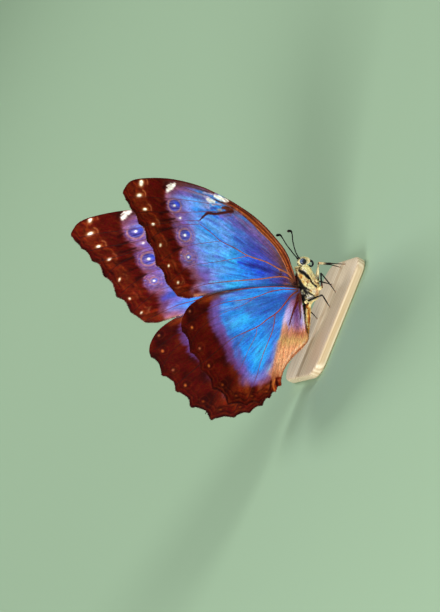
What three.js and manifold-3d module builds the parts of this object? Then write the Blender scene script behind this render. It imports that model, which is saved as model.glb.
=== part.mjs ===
// A blue morpho butterfly, life size, standing with its wings held up in a narrow V.
//
// Units are millimetres and +Z is up. The insect looks along +X and its left side is +Y.
// Its body, eyes, feelers and wings are drawn in the insect's own frame, whose origin lies
// between the wing hinges (X to the head, Y to the left, Z to the back), and that frame is
// then pitched head-up. The legs are drawn in the standing frame, whose origin lies straight
// below the wing hinges on the top of the base. The part's origin is the bottom centre of
// the whole.

import * as THREE from 'three';
import { mergeVertices } from 'three/addons/utils/BufferGeometryUtils.js';
import Module from 'manifold-3d';

// ---------------------------------------------------------------- driving dimensions

const FOREWING_LENGTH = 70;            // hinge to apex, the length that the wings are drawn to
const BODY_PITCH = 27.6;               // degrees, head above tail
const HINGE_HEIGHT = 10.8;             // wing hinges above the top of the base
const HINGE_HALF_WIDTH = 2.5;          // wing hinges from the middle of the body
const HALF_OPENING = 20;               // degrees between each wing and the upright plane
const LEFT_WING_SWEEP = -5.5;          // degrees, the left pair is held a little further back
const WING_THICKNESS = 0.55;
const WING_CAMBER = 1.1;               // bulge of each wing towards the other pair
const HINDWING_OFFSET = 0.9;           // the hindwing lies outside the forewing
const FIT_GAP = 0.3;                   // left between pieces that touch
const LEG_RADIUS = 0.3;
const FOOT_RADIUS = 0.32;
const FOOT_CLEARANCE = 0.05;           // soles above the base, so that they do not cut it
const FEELER_RADIUS = 0.26;
const BASE = { length: 40, width: 28, thickness: 3, corner: 5, bevel: 0.5, centreX: -5 };

const radians = THREE.MathUtils.degToRad;
const vector = (x, y, z) => new THREE.Vector3(x, y, z);

// ---------------------------------------------------------------- closed bodies

// Makes a geometry whose faces point out, from shared points and triangles.
function closedGeometry(points, triangles) {
  let volume = 0;
  for (const [a, b, c] of triangles) {
    volume += points[a].dot(vector(0, 0, 0).crossVectors(points[b], points[c]));
  }
  const outward = volume > 0 ? triangles : triangles.map(([a, b, c]) => [a, c, b]);
  const geometry = new THREE.BufferGeometry();
  geometry.setFromPoints(points);
  geometry.setIndex(outward.flat());
  geometry.computeVertexNormals();
  return geometry;
}

// Skins a row of rings that have the same number of points, and closes both ends.
function loft(rings) {
  const sides = rings[0].length;
  const points = rings.flat();
  const triangles = [];
  for (let row = 0; row + 1 < rings.length; row += 1) {
    for (let side = 0; side < sides; side += 1) {
      const a = row * sides + side;
      const b = row * sides + (side + 1) % sides;
      triangles.push([a, b, b + sides], [a, b + sides, a + sides]);
    }
  }
  for (const [start, turned] of [[0, true], [(rings.length - 1) * sides, false]]) {
    const middle = vector(0, 0, 0);
    for (let side = 0; side < sides; side += 1) {
      middle.addScaledVector(points[start + side], 1 / sides);
    }
    points.push(middle);
    for (let side = 0; side < sides; side += 1) {
      const a = start + side;
      const b = start + (side + 1) % sides;
      triangles.push(turned ? [b, a, points.length - 1] : [a, b, points.length - 1]);
    }
  }
  return closedGeometry(points, triangles);
}

// Closes two grids of points, the two faces of a thin sheet, along their four edges.
function closedSheet(inner, outer) {
  const rows = inner.length;
  const columns = inner[0].length;
  const points = [...inner.flat(), ...outer.flat()];
  const half = rows * columns;
  const triangles = [];
  const quad = (a, b, c, d) => triangles.push([a, b, c], [a, c, d]);
  for (let row = 0; row + 1 < rows; row += 1) {
    for (let column = 0; column + 1 < columns; column += 1) {
      const a = row * columns + column;
      quad(a, a + 1, a + columns + 1, a + columns);
      quad(half + a, half + a + columns, half + a + columns + 1, half + a + 1);
    }
  }
  const edge = (a, b) => quad(b, a, half + a, half + b);
  const last = (rows - 1) * columns;
  for (let column = 0; column + 1 < columns; column += 1) {
    edge(column, column + 1);
    edge(last + column + 1, last + column);
  }
  for (let row = 0; row + 1 < rows; row += 1) {
    edge((row + 1) * columns, row * columns);
    edge(row * columns + columns - 1, (row + 1) * columns + columns - 1);
  }
  return closedGeometry(points, triangles);
}

// A round rod along a curve, with a radius for each place from 0 to 1 along it.
function rod(curve, radiusAt, steps, sides) {
  const frames = curve.computeFrenetFrames(steps, false);
  const rings = [];
  for (let step = 0; step <= steps; step += 1) {
    const along = step / steps;
    const centre = curve.getPointAt(along);
    const ring = [];
    for (let side = 0; side < sides; side += 1) {
      const turn = 2 * Math.PI * side / sides;
      const spoke = frames.normals[step].clone().multiplyScalar(Math.cos(turn));
      spoke.addScaledVector(frames.binormals[step], Math.sin(turn));
      ring.push(centre.clone().addScaledVector(spoke, radiusAt(along)));
    }
    rings.push(ring);
  }
  return loft(rings);
}

// ---------------------------------------------------------------- colours

const finishes = {
  cream: { color: 0xe9d9a0, roughness: 0.85 },
  straw: { color: 0xd9a24c, roughness: 0.8 },
  black: { color: 0x17130f, roughness: 0.5 },
  eye: { color: 0x1c2433, roughness: 0.15 },
  wing: { color: 0x2c6fd8, roughness: 0.45, metalness: 0.3 },
  wood: { color: 0xd8c8ae, roughness: 0.5 },
};

function piece(name, geometry, finish) {
  const mesh = new THREE.Mesh(geometry, new THREE.MeshStandardMaterial(finishes[finish]));
  mesh.name = name;
  return mesh;
}

// ---------------------------------------------------------------- wings

// A wing is drawn flat: across is the distance from the hinge, forward is towards the head.
const curveThrough = (points) => new THREE.SplineCurve(
  points.map(([across, forward]) => new THREE.Vector2(across, forward)),
);

// A wing margin that runs from corner to corner, bowed by depth between each two:
// out into a lobe where depth is above 0, and in to leave a tooth at each corner below 0.
function scallopedMargin(corners, depthAt, steps) {
  const points = [];
  for (let index = 0; index + 1 < corners.length; index += 1) {
    const start = new THREE.Vector2(...corners[index]);
    const chord = new THREE.Vector2(...corners[index + 1]).sub(start);
    const outward = new THREE.Vector2(chord.y, -chord.x).normalize();
    for (let step = 0; step < steps; step += 1) {
      const along = step / steps;
      const bow = depthAt(index) * Math.sin(Math.PI * along) ** 0.7;
      points.push(start.clone().addScaledVector(chord, along).addScaledVector(outward, bow));
    }
  }
  points.push(new THREE.Vector2(...corners[corners.length - 1]));
  return points;
}

const FOREWING_NOTCHES = [2, 3, 4, 5]; // the spans of its margin that are cut in deeply

// The leading edge is a smooth curve from the hinge. The trailing edge runs from the hinge
// along the inner edge and then along the scalloped outer margin to the same tip.
const forewing = {
  leading: curveThrough([[0.9, 2.6], [2.1, 6.4], [3.4, 10.2], [6.3, 14.1], [13.2, 20.6],
    [20.6, 25.1], [28.4, 28.6], [36, 31.1], [46, 32.8], [55.8, 32.8], [61.5, 31.7], [64.4, 28.9]]),
  inner: curveThrough([[0.7, -0.9], [8, -0.5], [20, -1.1], [31, -1.8], [37.5, -2.1], [42.6, -2.8]]),
  innerSteps: 16,
  margin: scallopedMargin([[42.6, -2.8], [46.5, -2.1], [50.3, 1.7], [53.8, 7], [56.7, 14.1],
    [59.4, 19.3], [61.9, 23.6], [63.5, 26.2], [64.6, 28.2]],
  (index) => (FOREWING_NOTCHES.includes(index) ? -1.1 : -0.1), 4),
};

const ANAL_TEETH = 4;                  // short teeth next to the body
const hindwing = {
  leading: curveThrough([[0.4, -0.3], [10, 0.6], [20.5, 0.1], [31, -0.9], [37.6, -2.5],
    [43, -5.2], [46, -8.6], [46.9, -11.2]]),
  inner: curveThrough([[0.2, -1.6], [0.3, -3.9], [0.1, -6.2], [-0.5, -12.6], [-1.2, -15.6],
    [0.6, -17.7], [5.7, -21.3], [9.2, -24.9], [10.5, -27.6], [10.8, -29.7]]),
  innerSteps: 18,
  margin: scallopedMargin([[10.8, -29.7], [12.5, -30.9], [15.4, -33.3], [19.6, -34.8],
    [24.6, -35.4], [31.8, -35.1], [37.2, -30.2], [40.8, -24.6], [44.3, -19.1], [46.7, -12.7]],
  (index) => (index < ANAL_TEETH ? -0.9 : -1.7), 6),
};

const camber = (across, forward) => WING_CAMBER
  * Math.sin(Math.PI * THREE.MathUtils.clamp(across / FOREWING_LENGTH, 0, 1))
  * Math.cos((forward - 8) / 32);

const ACROSS_STEPS = 4;                // points from the leading to the trailing edge

// Spans the wing with straight rungs from the leading to the trailing edge.
// inward is +1 where the other pair of wings lies on the side of +Y, and -1 where on -Y.
function wingGeometry({ leading, inner, innerSteps, margin }, inward, offset) {
  const trailing = [...inner.getSpacedPoints(innerSteps).slice(0, -1), ...margin];
  const faces = [[], []];
  for (const [index, end] of trailing.entries()) {
    const start = leading.getPointAt(index / (trailing.length - 1));
    const rungs = [[], []];
    for (let step = 0; step <= ACROSS_STEPS; step += 1) {
      const { x: across, y: forward } = start.clone().lerp(end, step / ACROSS_STEPS);
      const middle = inward * (camber(across, forward) - offset);
      rungs.forEach((rung, face) => {
        const skin = (face === 0 ? 0.5 : -0.5) * WING_THICKNESS;
        rung.push(vector(forward, middle + skin, across));
      });
    }
    faces[0].push(rungs[0]);
    faces[1].push(rungs[1]);
  }
  return closedSheet(faces[0], faces[1]);
}

function wings(side) {
  const right = side === 'right';
  const pair = new THREE.Group();
  const inward = right ? 1 : -1;
  pair.position.y = -inward * HINGE_HALF_WIDTH;
  pair.rotation.set(inward * radians(HALF_OPENING), right ? 0 : radians(LEFT_WING_SWEEP), 0);
  pair.add(piece(`forewing_${side}`, wingGeometry(forewing, inward, 0), 'wing'));
  pair.add(piece(`hindwing_${side}`, wingGeometry(hindwing, inward, HINDWING_OFFSET), 'wing'));
  return pair;
}

// ---------------------------------------------------------------- trunk

// Stations along the body: [forward, back height, belly height, half width].
const thoraxStations = [
  [6.75, -1.2, -4.6, 1.15], [6.3, -0.55, -5.0, 1.7], [5.2, -0.1, -5.6, 2.15], [3.6, 0.35, -6.5, 2.5],
  [1, 0.7, -7.5, 2.75], [-1.2, 0.35, -7.45, 2.7], [-2.9, -0.5, -6.8, 2.35],
  [-3.9, -1.2, -5.4, 1.8], [-4.3, -1.9, -4.7, 1.2],
];
const abdomenStations = [
  [-4.65, -1.9, -4.6, 1.25], [-5.2, -1.45, -4.75, 1.6], [-7.6, -1.0, -4.5, 1.75],
  [-10.2, -0.85, -4.05, 1.6], [-12.6, -0.95, -3.5, 1.25], [-14.3, -1.25, -3.0, 0.85],
  [-15.4, -1.8, -2.5, 0.35],
];

// Smooths the stations and skins an oval at each.
function trunkGeometry(stations, steps, sides) {
  const column = (index) => new THREE.SplineCurve(
    stations.map((station, place) => new THREE.Vector2(place, station[index])),
  );
  const columns = [0, 1, 2, 3].map(column);
  const rings = [];
  for (let step = 0; step <= steps; step += 1) {
    const [forward, back, belly, halfWidth] = columns.map((curve) => curve.getPoint(step / steps).y);
    const ring = [];
    for (let side = 0; side < sides; side += 1) {
      const turn = 2 * Math.PI * side / sides;
      const height = (back + belly) / 2 + Math.sin(turn) * (back - belly) / 2;
      ring.push(vector(forward, Math.cos(turn) * halfWidth, height));
    }
    rings.push(ring);
  }
  return loft(rings);
}

// ---------------------------------------------------------------- head

const HEAD = { centre: vector(8.35, 0, -2.8), radii: vector(1.4, 1.4, 1.5) };
const EYE = { centre: vector(8.2, 1.35, -2.35), radii: vector(0.95, 0.6, 1.05) };

function ellipsoid({ centre, radii }, sign, margin, segments) {
  const geometry = new THREE.SphereGeometry(1, segments, segments / 2);
  geometry.scale(radii.x + margin, radii.y + margin, radii.z + margin);
  geometry.translate(centre.x, sign * centre.y, centre.z);
  return geometry;
}

// The head has a socket for each eye, cut a little larger than the eye itself.
async function headGeometry() {
  const wasm = await Module();
  wasm.setup();
  const solid = (geometry) => {
    geometry.deleteAttribute('normal');
    geometry.deleteAttribute('uv');
    const merged = mergeVertices(geometry);
    return new wasm.Manifold(new wasm.Mesh({
      numProp: 3,
      vertProperties: merged.attributes.position.array,
      triVerts: new Uint32Array(merged.index.array),
    }));
  };
  let head = solid(ellipsoid(HEAD, 1, 0, 20));
  for (const sign of [1, -1]) {
    head = head.subtract(solid(ellipsoid(EYE, sign, FIT_GAP, 14)));
  }
  const { vertProperties, triVerts } = head.getMesh();
  const geometry = new THREE.BufferGeometry();
  geometry.setAttribute('position', new THREE.BufferAttribute(vertProperties, 3));
  geometry.setIndex(new THREE.BufferAttribute(triVerts, 1));
  geometry.computeVertexNormals();
  return geometry;
}

// A feeler runs up and out, then hooks back into its thicker club.
function antennaGeometry(sign) {
  const points = [[9.5, 0.7, -1.15], [11.2, 1.3, -0.1], [14, 3.0, 1.15], [16.2, 4.4, 1.75],
    [17.2, 4.9, 2.3], [17.15, 5.1, 3.6]];
  const curve = new THREE.CatmullRomCurve3(points.map(([x, y, z]) => vector(x, sign * y, z)));
  const clubRadius = (along) => FEELER_RADIUS + 0.1 * THREE.MathUtils.smoothstep(along, 0.75, 0.9);
  return rod(curve, clubRadius, 14, 6);
}

// The tongue is carried rolled up in front of the face.
function proboscisGeometry() {
  const coil = { forward: 7.55, height: -5.75, outer: 0.82, inner: 0.76, start: 0.3, turn: 1.5 };
  const points = [];
  for (let step = 0; step <= 12; step += 1) {
    const along = step / 12;
    const angle = Math.PI * (coil.start + coil.turn * along);
    const radius = THREE.MathUtils.lerp(coil.outer, coil.inner, along);
    points.push(vector(
      coil.forward + radius * Math.sin(angle),
      0,
      coil.height + radius * Math.cos(angle),
    ));
  }
  return rod(new THREE.CatmullRomCurve3(points), () => 0.25, 18, 8);
}

// A short brush-like feeler on each side of the tongue.
function palpGeometry(sign) {
  const curve = new THREE.CatmullRomCurve3([
    vector(7.9, sign * 0.8, -4.85), vector(8.6, sign * 0.85, -4.95), vector(9.4, sign * 0.65, -4.6),
  ]);
  return rod(curve, (along) => 0.28 + 0.12 * Math.sin(Math.PI * along), 5, 6);
}

// ---------------------------------------------------------------- legs

// Joints of each leg in the standing frame, from the hip to the foot on the base.
const legs = {
  fore_right: [[4.8, -2.6, 6.3], [9.8, -2.6, 8.3], [11.4, -2.3, 4.3], [13.2, -1.9, 0]],
  fore_left: [[5.3, 2.4, 5.6], [10.8, 2.2, 6.7], [12.1, 2.0, 3.2], [12.6, 1.8, 0]],
  mid_right: [[3.3, -2.6, 4.3], [7.1, -3.0, 6.5], [4.8, -3.5, 2.2], [3.5, -3.8, 0]],
  mid_left: [[3.6, 2.5, 4.3], [6.0, 3.4, 4.6], [6.6, 3.5, 1.9], [6.9, 3.4, 0]],
  hind_right: [[-2.5, -2.8, 6.8], [0.8, -4.0, 3.7], [-0.8, -4.4, 1.6], [-1.8, -4.6, 0]],
  hind_left: [[-1.2, 3.1, 5.0], [-3.1, 3.4, 5.7], [-3.9, 3.6, 2.2], [-4.7, 3.8, 0]],
};

// How far two leg pieces stop short of the joint between them: the sharper the bend,
// the further, so that their round ends stay apart.
function jointRoom(before, joint, after) {
  const bend = before.clone().sub(joint).angleTo(after.clone().sub(joint));
  return (LEG_RADIUS + FIT_GAP / 2) / Math.sin(bend / 2);
}

// A straight, slightly tapered leg piece that leaves room at both its joints.
function legPiece(start, end, startRoom, endRoom) {
  const along = end.clone().sub(start).normalize();
  const curve = new THREE.LineCurve3(
    start.clone().addScaledVector(along, startRoom),
    end.clone().addScaledVector(along, -endRoom),
  );
  return rod(curve, (place) => LEG_RADIUS * (1.1 - 0.2 * place), 1, 6);
}

// The last piece slants down from the ankle to a small level sole.
function footGeometry(ankle, foot, room) {
  const ring = (centre, radius) => Array.from({ length: 8 }, (_, side) => {
    const turn = Math.PI * side / 4;
    return vector(centre.x + radius * Math.cos(turn), centre.y + radius * Math.sin(turn), centre.z);
  });
  const top = ankle.clone().lerp(foot, room / ankle.distanceTo(foot));
  const heel = foot.clone().lerp(ankle, 0.12);
  return loft([ring(top, 0.9 * LEG_RADIUS), ring(heel, 0.9 * LEG_RADIUS), ring(foot, FOOT_RADIUS)]);
}

function leg(name) {
  const [hip, knee, ankle, foot] = legs[name].map((joint) => vector(...joint));
  const sole = foot.clone().setZ(FOOT_CLEARANCE);
  const kneeRoom = jointRoom(hip, knee, ankle);
  const ankleRoom = jointRoom(knee, ankle, sole);
  const group = new THREE.Group();
  group.add(piece(`leg_${name}_femur`, legPiece(hip, knee, 0, kneeRoom), 'black'));
  group.add(piece(`leg_${name}_tibia`, legPiece(knee, ankle, kneeRoom, ankleRoom), 'black'));
  group.add(piece(`leg_${name}_tarsus`, footGeometry(ankle, sole, ankleRoom), 'black'));
  return group;
}

// ---------------------------------------------------------------- base

// A low rounded plate whose top lies at height 0.
function baseGeometry() {
  const { length, width, thickness, corner, bevel } = BASE;
  const x = length / 2 - bevel;
  const y = width / 2 - bevel;
  const outline = new THREE.Shape();
  outline.absarc(x - corner, y - corner, corner, 0, Math.PI / 2);
  outline.absarc(corner - x, y - corner, corner, Math.PI / 2, Math.PI);
  outline.absarc(corner - x, corner - y, corner, Math.PI, 1.5 * Math.PI);
  outline.absarc(x - corner, corner - y, corner, 1.5 * Math.PI, 2 * Math.PI);
  const geometry = new THREE.ExtrudeGeometry(outline, {
    depth: thickness - 2 * bevel,
    curveSegments: 6,
    bevelSize: bevel,
    bevelThickness: bevel,
    bevelSegments: 1,
  });
  geometry.translate(BASE.centreX, 0, bevel - thickness);
  return geometry;
}

// ---------------------------------------------------------------- assembly

const insect = new THREE.Group();
insect.position.z = HINGE_HEIGHT;
insect.rotation.y = -radians(BODY_PITCH);
insect.add(piece('thorax', trunkGeometry(thoraxStations, 12, 18), 'cream'));
insect.add(piece('abdomen', trunkGeometry(abdomenStations, 12, 14), 'straw'));
insect.add(piece('head', await headGeometry(), 'cream'));
insect.add(piece('proboscis', proboscisGeometry(), 'black'));
for (const [side, sign] of [['right', -1], ['left', 1]]) {
  insect.add(piece(`eye_${side}`, ellipsoid(EYE, sign, 0, 14), 'eye'));
  insect.add(piece(`antenna_${side}`, antennaGeometry(sign), 'black'));
  insect.add(piece(`palp_${side}`, palpGeometry(sign), 'cream'));
  insect.add(wings(side));
}

const standing = new THREE.Group();
standing.add(insect);
for (const name of Object.keys(legs)) {
  standing.add(leg(name));
}
standing.add(piece('stand_base', baseGeometry(), 'wood'));

const morpho = new THREE.Group();
morpho.add(standing);
const extent = new THREE.Box3().setFromObject(morpho, true);
const middle = extent.getCenter(vector(0, 0, 0));
standing.position.set(-middle.x, -middle.y, -extent.min.z);

export default morpho;
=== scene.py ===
"""Looks of a life-size blue morpho butterfly model that stands on a small wooden plate.

Lengths are millimetres until a mesh is made. The insect's own frame has its origin between
the wing hinges: X to the head, Y to its left, Z to its back. The standing frame has its
origin straight below the hinges, on top of the plate. A wing is drawn flat, at places
(across, forward): the distance out from the hinge, and the distance towards the head.
"""

import math

import bpy
import numpy as np
from mathutils import Matrix, Vector


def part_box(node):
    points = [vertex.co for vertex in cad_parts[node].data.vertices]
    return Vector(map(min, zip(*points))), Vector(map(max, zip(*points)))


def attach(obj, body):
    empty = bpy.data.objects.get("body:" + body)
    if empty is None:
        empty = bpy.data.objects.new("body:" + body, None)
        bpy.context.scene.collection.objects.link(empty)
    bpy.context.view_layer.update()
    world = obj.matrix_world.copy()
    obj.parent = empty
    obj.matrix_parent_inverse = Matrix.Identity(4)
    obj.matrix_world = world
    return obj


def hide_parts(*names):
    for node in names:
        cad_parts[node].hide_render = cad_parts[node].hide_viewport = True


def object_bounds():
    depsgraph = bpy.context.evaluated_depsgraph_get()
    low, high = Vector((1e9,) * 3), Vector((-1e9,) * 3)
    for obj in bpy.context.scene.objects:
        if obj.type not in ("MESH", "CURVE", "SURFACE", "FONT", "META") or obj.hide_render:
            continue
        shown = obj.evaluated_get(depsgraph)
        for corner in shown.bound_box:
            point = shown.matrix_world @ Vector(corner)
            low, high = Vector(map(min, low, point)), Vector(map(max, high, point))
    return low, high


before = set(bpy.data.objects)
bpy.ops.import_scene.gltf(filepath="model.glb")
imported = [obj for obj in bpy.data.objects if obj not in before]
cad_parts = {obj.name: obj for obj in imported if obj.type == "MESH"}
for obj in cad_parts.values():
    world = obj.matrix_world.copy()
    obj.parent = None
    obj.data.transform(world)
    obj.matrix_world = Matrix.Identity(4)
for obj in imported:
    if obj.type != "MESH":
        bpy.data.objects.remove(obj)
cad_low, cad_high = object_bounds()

# ---------------------------------------------------------------- driving dimensions

MM = 0.001
BODY_PITCH = math.radians(27.6)
HINGE_HEIGHT = 10.8
HINGE_HALF_WIDTH = 2.5
HALF_OPENING = math.radians(20)
LEFT_WING_SWEEP = math.radians(-5.5)
FOREWING_LENGTH = 70
WING_CAMBER = 1.1
HINDWING_OFFSET = 0.9
MEMBRANE = 0.08               # half thickness of a wing between its veins
FRINGE = 0.4                  # length of the hair scales at a wing's margin
BASE_CENTRE_X = -5            # middle of the plate, in the standing frame

base_low, base_high = (np.array(corner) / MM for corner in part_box("stand_base"))
base_middle = (base_low + base_high) / 2
ORIGIN = np.array([base_middle[0] - BASE_CENTRE_X, base_middle[1], base_high[2]])

# ---------------------------------------------------------------- colours, 0 to 255

WHITE = (252, 240, 232)
IVORY = (230, 210, 190)
PALE_LILAC = (200, 175, 210)
LILAC = (165, 150, 210)
PERIWINKLE = (120, 125, 210)
VIOLET = (105, 75, 155)
PLUM = (90, 50, 100)
MAUVE = (145, 90, 125)
DUSKY_MAUVE = (110, 60, 80)
INDIGO = (65, 60, 160)
NAVY = (25, 30, 120)
STEEL = (60, 110, 195)
DEEP_BLUE = (40, 85, 175)
ROYAL = (35, 70, 215)
AZURE = (40, 140, 240)
SKY = (100, 155, 235)
CYAN = (55, 180, 250)
PALE_CYAN = (130, 205, 250)
PEACH = (230, 165, 120)
SALMON = (195, 130, 105)
ORANGE = (205, 110, 45)
TAN = (160, 90, 55)
ORANGE_BROWN = (135, 55, 15)
RUST = (125, 35, 10)
CHESTNUT = (95, 30, 10)
UMBER = (80, 40, 30)
MAROON = (70, 10, 5)
BLACK_BROWN = (35, 5, 5)
CREAM = (255, 230, 165)
PALE_CREAM = (255, 245, 215)
STRAW = (230, 165, 70)
OCHRE = (200, 160, 100)
GREY = (205, 205, 200)
BLACK = (10, 8, 8)


def linear(colour):
    """Turns colours of 0 to 255 into the linear numbers that Blender wants."""
    share = np.clip(np.asarray(colour, float) / 255, 0, 1)
    return np.where(share <= 0.04045, share / 12.92, ((share + 0.055) / 1.055) ** 2.4)


# ---------------------------------------------------------------- lines and noise


def smooth(value, low, high):
    """0 below low, 1 above high, and an even ramp between."""
    share = np.clip((value - low) / (high - low), 0, 1)
    return share * share * (3 - 2 * share)


def through(knots, steps=10):
    """A smooth line through the knots, in any number of dimensions."""
    knots = np.asarray(knots, float)
    padded = np.concatenate([knots[:1], knots, knots[-1:]])
    share = (np.arange(steps) / steps)[:, None]
    spans = []
    for before, start, end, after in zip(padded, padded[1:], padded[2:], padded[3:]):
        bend = 2 * before - 5 * start + 4 * end - after
        swing = 3 * start - before - 3 * end + after
        spans.append(start + (end - before) * share / 2 + bend * share**2 / 2 + swing * share**3 / 2)
    return np.concatenate([*spans, knots[-1:]])


def lengths_along(line):
    return np.concatenate([[0], np.cumsum(np.linalg.norm(np.diff(line, axis=0), axis=1))])


def spread(line, shares):
    """Points at shares from 0 to 1 of a line's length."""
    along = lengths_along(line)
    wanted = np.asarray(shares) * along[-1]
    return np.stack([np.interp(wanted, along, column) for column in line.T], -1)


def nearest(places, line):
    """Distance from each place to a line, and how far along it, from 0 to 1, that is."""
    along = lengths_along(line)
    best = np.full(len(places), np.inf)
    where = np.zeros(len(places))
    for start, end, reached, length in zip(line, line[1:], along, np.diff(along)):
        chord = end - start
        share = np.clip((places - start) @ chord / max(chord @ chord, 1e-12), 0, 1)
        gap = np.linalg.norm(places - start - share[:, None] * chord, axis=1)
        closer = gap < best
        best = np.where(closer, gap, best)
        where = np.where(closer, reached + share * length, where)
    return best, where / along[-1]


def noise(x, y, seed):
    """Smooth noise from -1 to 1, with about one bump to each unit of x and y."""
    column, row = np.floor(x).astype(np.int64), np.floor(y).astype(np.int64)
    right, up = x - column, y - row
    right, up = right * right * (3 - 2 * right), up * up * (3 - 2 * up)

    def corner(i, j):
        mixed = ((column + i) * 374761393 + (row + j) * 668265263 + seed * 974634777) & 0xFFFFFFFF
        mixed = ((mixed ^ (mixed >> 13)) * 1274126177) & 0xFFFFFFFF
        return ((mixed ^ (mixed >> 16)) & 0xFFFF) / 32767.5 - 1

    low = corner(0, 0) * (1 - right) + corner(1, 0) * right
    high = corner(0, 1) * (1 - right) + corner(1, 1) * right
    return low * (1 - up) + high * up


class Paint:
    """Colours laid over one another at flat places, from wide soft grounds to small marks."""

    def __init__(self, places, ground):
        self.places = places
        self.colour = np.tile(np.asarray(ground, float), (len(places), 1))

    def lay(self, colour, cover):
        cover = np.clip(cover, 0, 1)[:, None]
        self.colour += (np.asarray(colour, float) - self.colour) * cover

    def stroke(self, knots, width, colour, cover=1.0, edge=2, rough=0.0):
        """A brush stroke. Its width and colour may change along it, and edge sharpens it."""
        line = through(knots) if len(knots) > 2 else np.asarray(knots, float)
        widest = np.max(width)
        reach = widest * (3 if edge < 4 else 1.6)
        low, high = line.min(0) - reach, line.max(0) + reach
        near = np.all((self.places > low) & (self.places < high), axis=1)
        away, along = nearest(self.places[near], line)
        colours = np.atleast_2d(np.asarray(colour, float))
        stops = np.linspace(0, 1, len(colours))
        tint = np.stack([np.interp(along, stops, shade) for shade in colours.T], -1)
        widths = np.atleast_1d(np.asarray(width, float))
        wide = np.interp(along, np.linspace(0, 1, len(widths)), widths)
        if rough:
            wide = wide * np.clip(1 + rough * ray_noise(self.places[near], 110, 7), 0.05, 3)
        share = np.clip(cover * np.exp(-((away / wide) ** edge)), 0, 1)[:, None]
        self.colour[near] += (tint - self.colour[near]) * share

    def spot(self, centre, radii, colour, cover=1.0, edge=4, turn=0):
        """A filled oval. Its radii lie across and forward before it is turned by degrees."""
        self.lay(colour, cover * np.exp(-(self.oval(centre, radii, turn) ** edge)))

    def ring(self, centre, radii, thickness, colour, cover=1.0):
        """A thin oval ring, whose thickness is a share of its radius."""
        off = (self.oval(centre, radii, 0) - 1) / thickness
        self.lay(colour, cover * np.exp(-(off**2)))

    def oval(self, centre, radii, turn):
        across, forward = (self.places - centre).T
        cos, sin = math.cos(math.radians(turn)), math.sin(math.radians(turn))
        return np.hypot(
            (across * cos + forward * sin) / radii[0],
            (forward * cos - across * sin) / radii[1],
        )


# ---------------------------------------------------------------- frames


def from_standing(points):
    """From the standing frame to the shared frame, in millimetres."""
    return np.asarray(points, float) + ORIGIN


def from_insect(points):
    """From the insect's own frame to the shared frame, in millimetres."""
    x, y, z = np.moveaxis(np.asarray(points, float), -1, 0)
    cos, sin = math.cos(BODY_PITCH), math.sin(BODY_PITCH)
    return from_standing(np.stack([x * cos - z * sin, y, x * sin + z * cos + HINGE_HEIGHT], -1))


def way_from_insect(ways):
    """Turns directions of the insect's frame into the shared frame."""
    return from_insect(ways) - from_insect(np.zeros(3))


def camber(across, forward):
    """How far a wing bulges towards the other side's wings."""
    bulge = np.sin(np.pi * np.clip(across / FOREWING_LENGTH, 0, 1))
    return WING_CAMBER * bulge * np.cos((forward - 8) / 32)


def on_wing(side, kind, places, lift=0.0):
    """Where a wing's flat places are, with lift towards the wings of the other side."""
    inward = 1 if side == "right" else -1
    sweep = 0 if side == "right" else LEFT_WING_SWEEP
    across, forward = np.asarray(places, float).T
    offset = HINDWING_OFFSET if kind == "hindwing" else 0
    y = inward * (camber(across, forward) - offset + lift)
    x = forward * math.cos(sweep) + across * math.sin(sweep)
    z = across * math.cos(sweep) - forward * math.sin(sweep)
    cos, sin = math.cos(HALF_OPENING), inward * math.sin(HALF_OPENING)
    y, z = y * cos - z * sin - inward * HINGE_HALF_WIDTH, y * sin + z * cos
    return from_insect(np.stack([x, y, z], -1))


# ---------------------------------------------------------------- meshes


def add_mesh(name, points, faces, material):
    """A smooth-shaded piece from points and a list of arrays of faces, turned to face out."""
    mesh = bpy.data.meshes.new(name)
    corners = np.concatenate([group.ravel() for group in faces])
    sizes = np.concatenate([np.full(len(group), group.shape[1]) for group in faces])
    mesh.vertices.add(len(points))
    mesh.vertices.foreach_set("co", (points * MM).astype(np.float32).ravel())
    mesh.loops.add(len(corners))
    mesh.loops.foreach_set("vertex_index", corners.astype(np.int32))
    mesh.polygons.add(len(sizes))
    starts = np.concatenate([[0], np.cumsum(sizes)[:-1]])
    mesh.polygons.foreach_set("loop_start", starts.astype(np.int32))
    mesh.update(calc_edges=True)
    mesh.polygons.foreach_set("use_smooth", np.ones(len(sizes), bool))
    mesh.materials.append(material)
    piece = bpy.data.objects.new(name, mesh)
    bpy.context.scene.collection.objects.link(piece)
    return piece


def paint_piece(piece, colours, name="tint"):
    layer = piece.data.attributes.new(name, "FLOAT_COLOR", "POINT")
    rgba = np.ones((len(colours), 4), np.float32)
    rgba[:, :3] = linear(colours)
    layer.data.foreach_set("color", rgba.ravel())


def give_values(piece, name, values):
    layer = piece.data.attributes.new(name, "FLOAT", "POINT")
    layer.data.foreach_set("value", values.astype(np.float32).ravel())


def give_vectors(piece, name, vectors):
    layer = piece.data.attributes.new(name, "FLOAT_VECTOR", "POINT")
    layer.data.foreach_set("vector", vectors.astype(np.float32).ravel())


def give_bake_map(piece, corner_uv):
    layer = piece.data.uv_layers.new(name="OFBake")
    layer.data.foreach_set("uv", corner_uv.astype(np.float32).ravel())


def keep(piece, slot, *nodes):
    """Hangs a finished piece on the body's root, so it rides on the body, and hides the CAD nodes it may
    stand for.
    """
    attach(piece, "root")
    if nodes:
        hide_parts(*nodes)


def grid_quads(rows, columns, index=None):
    """Quads between the points of a grid of rows by columns."""
    if index is None:
        index = np.arange(rows * columns).reshape(rows, columns)
    return np.stack(
        [index[:-1, :-1], index[:-1, 1:], index[1:, 1:], index[1:, :-1]], -1
    ).reshape(-1, 4)


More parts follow.
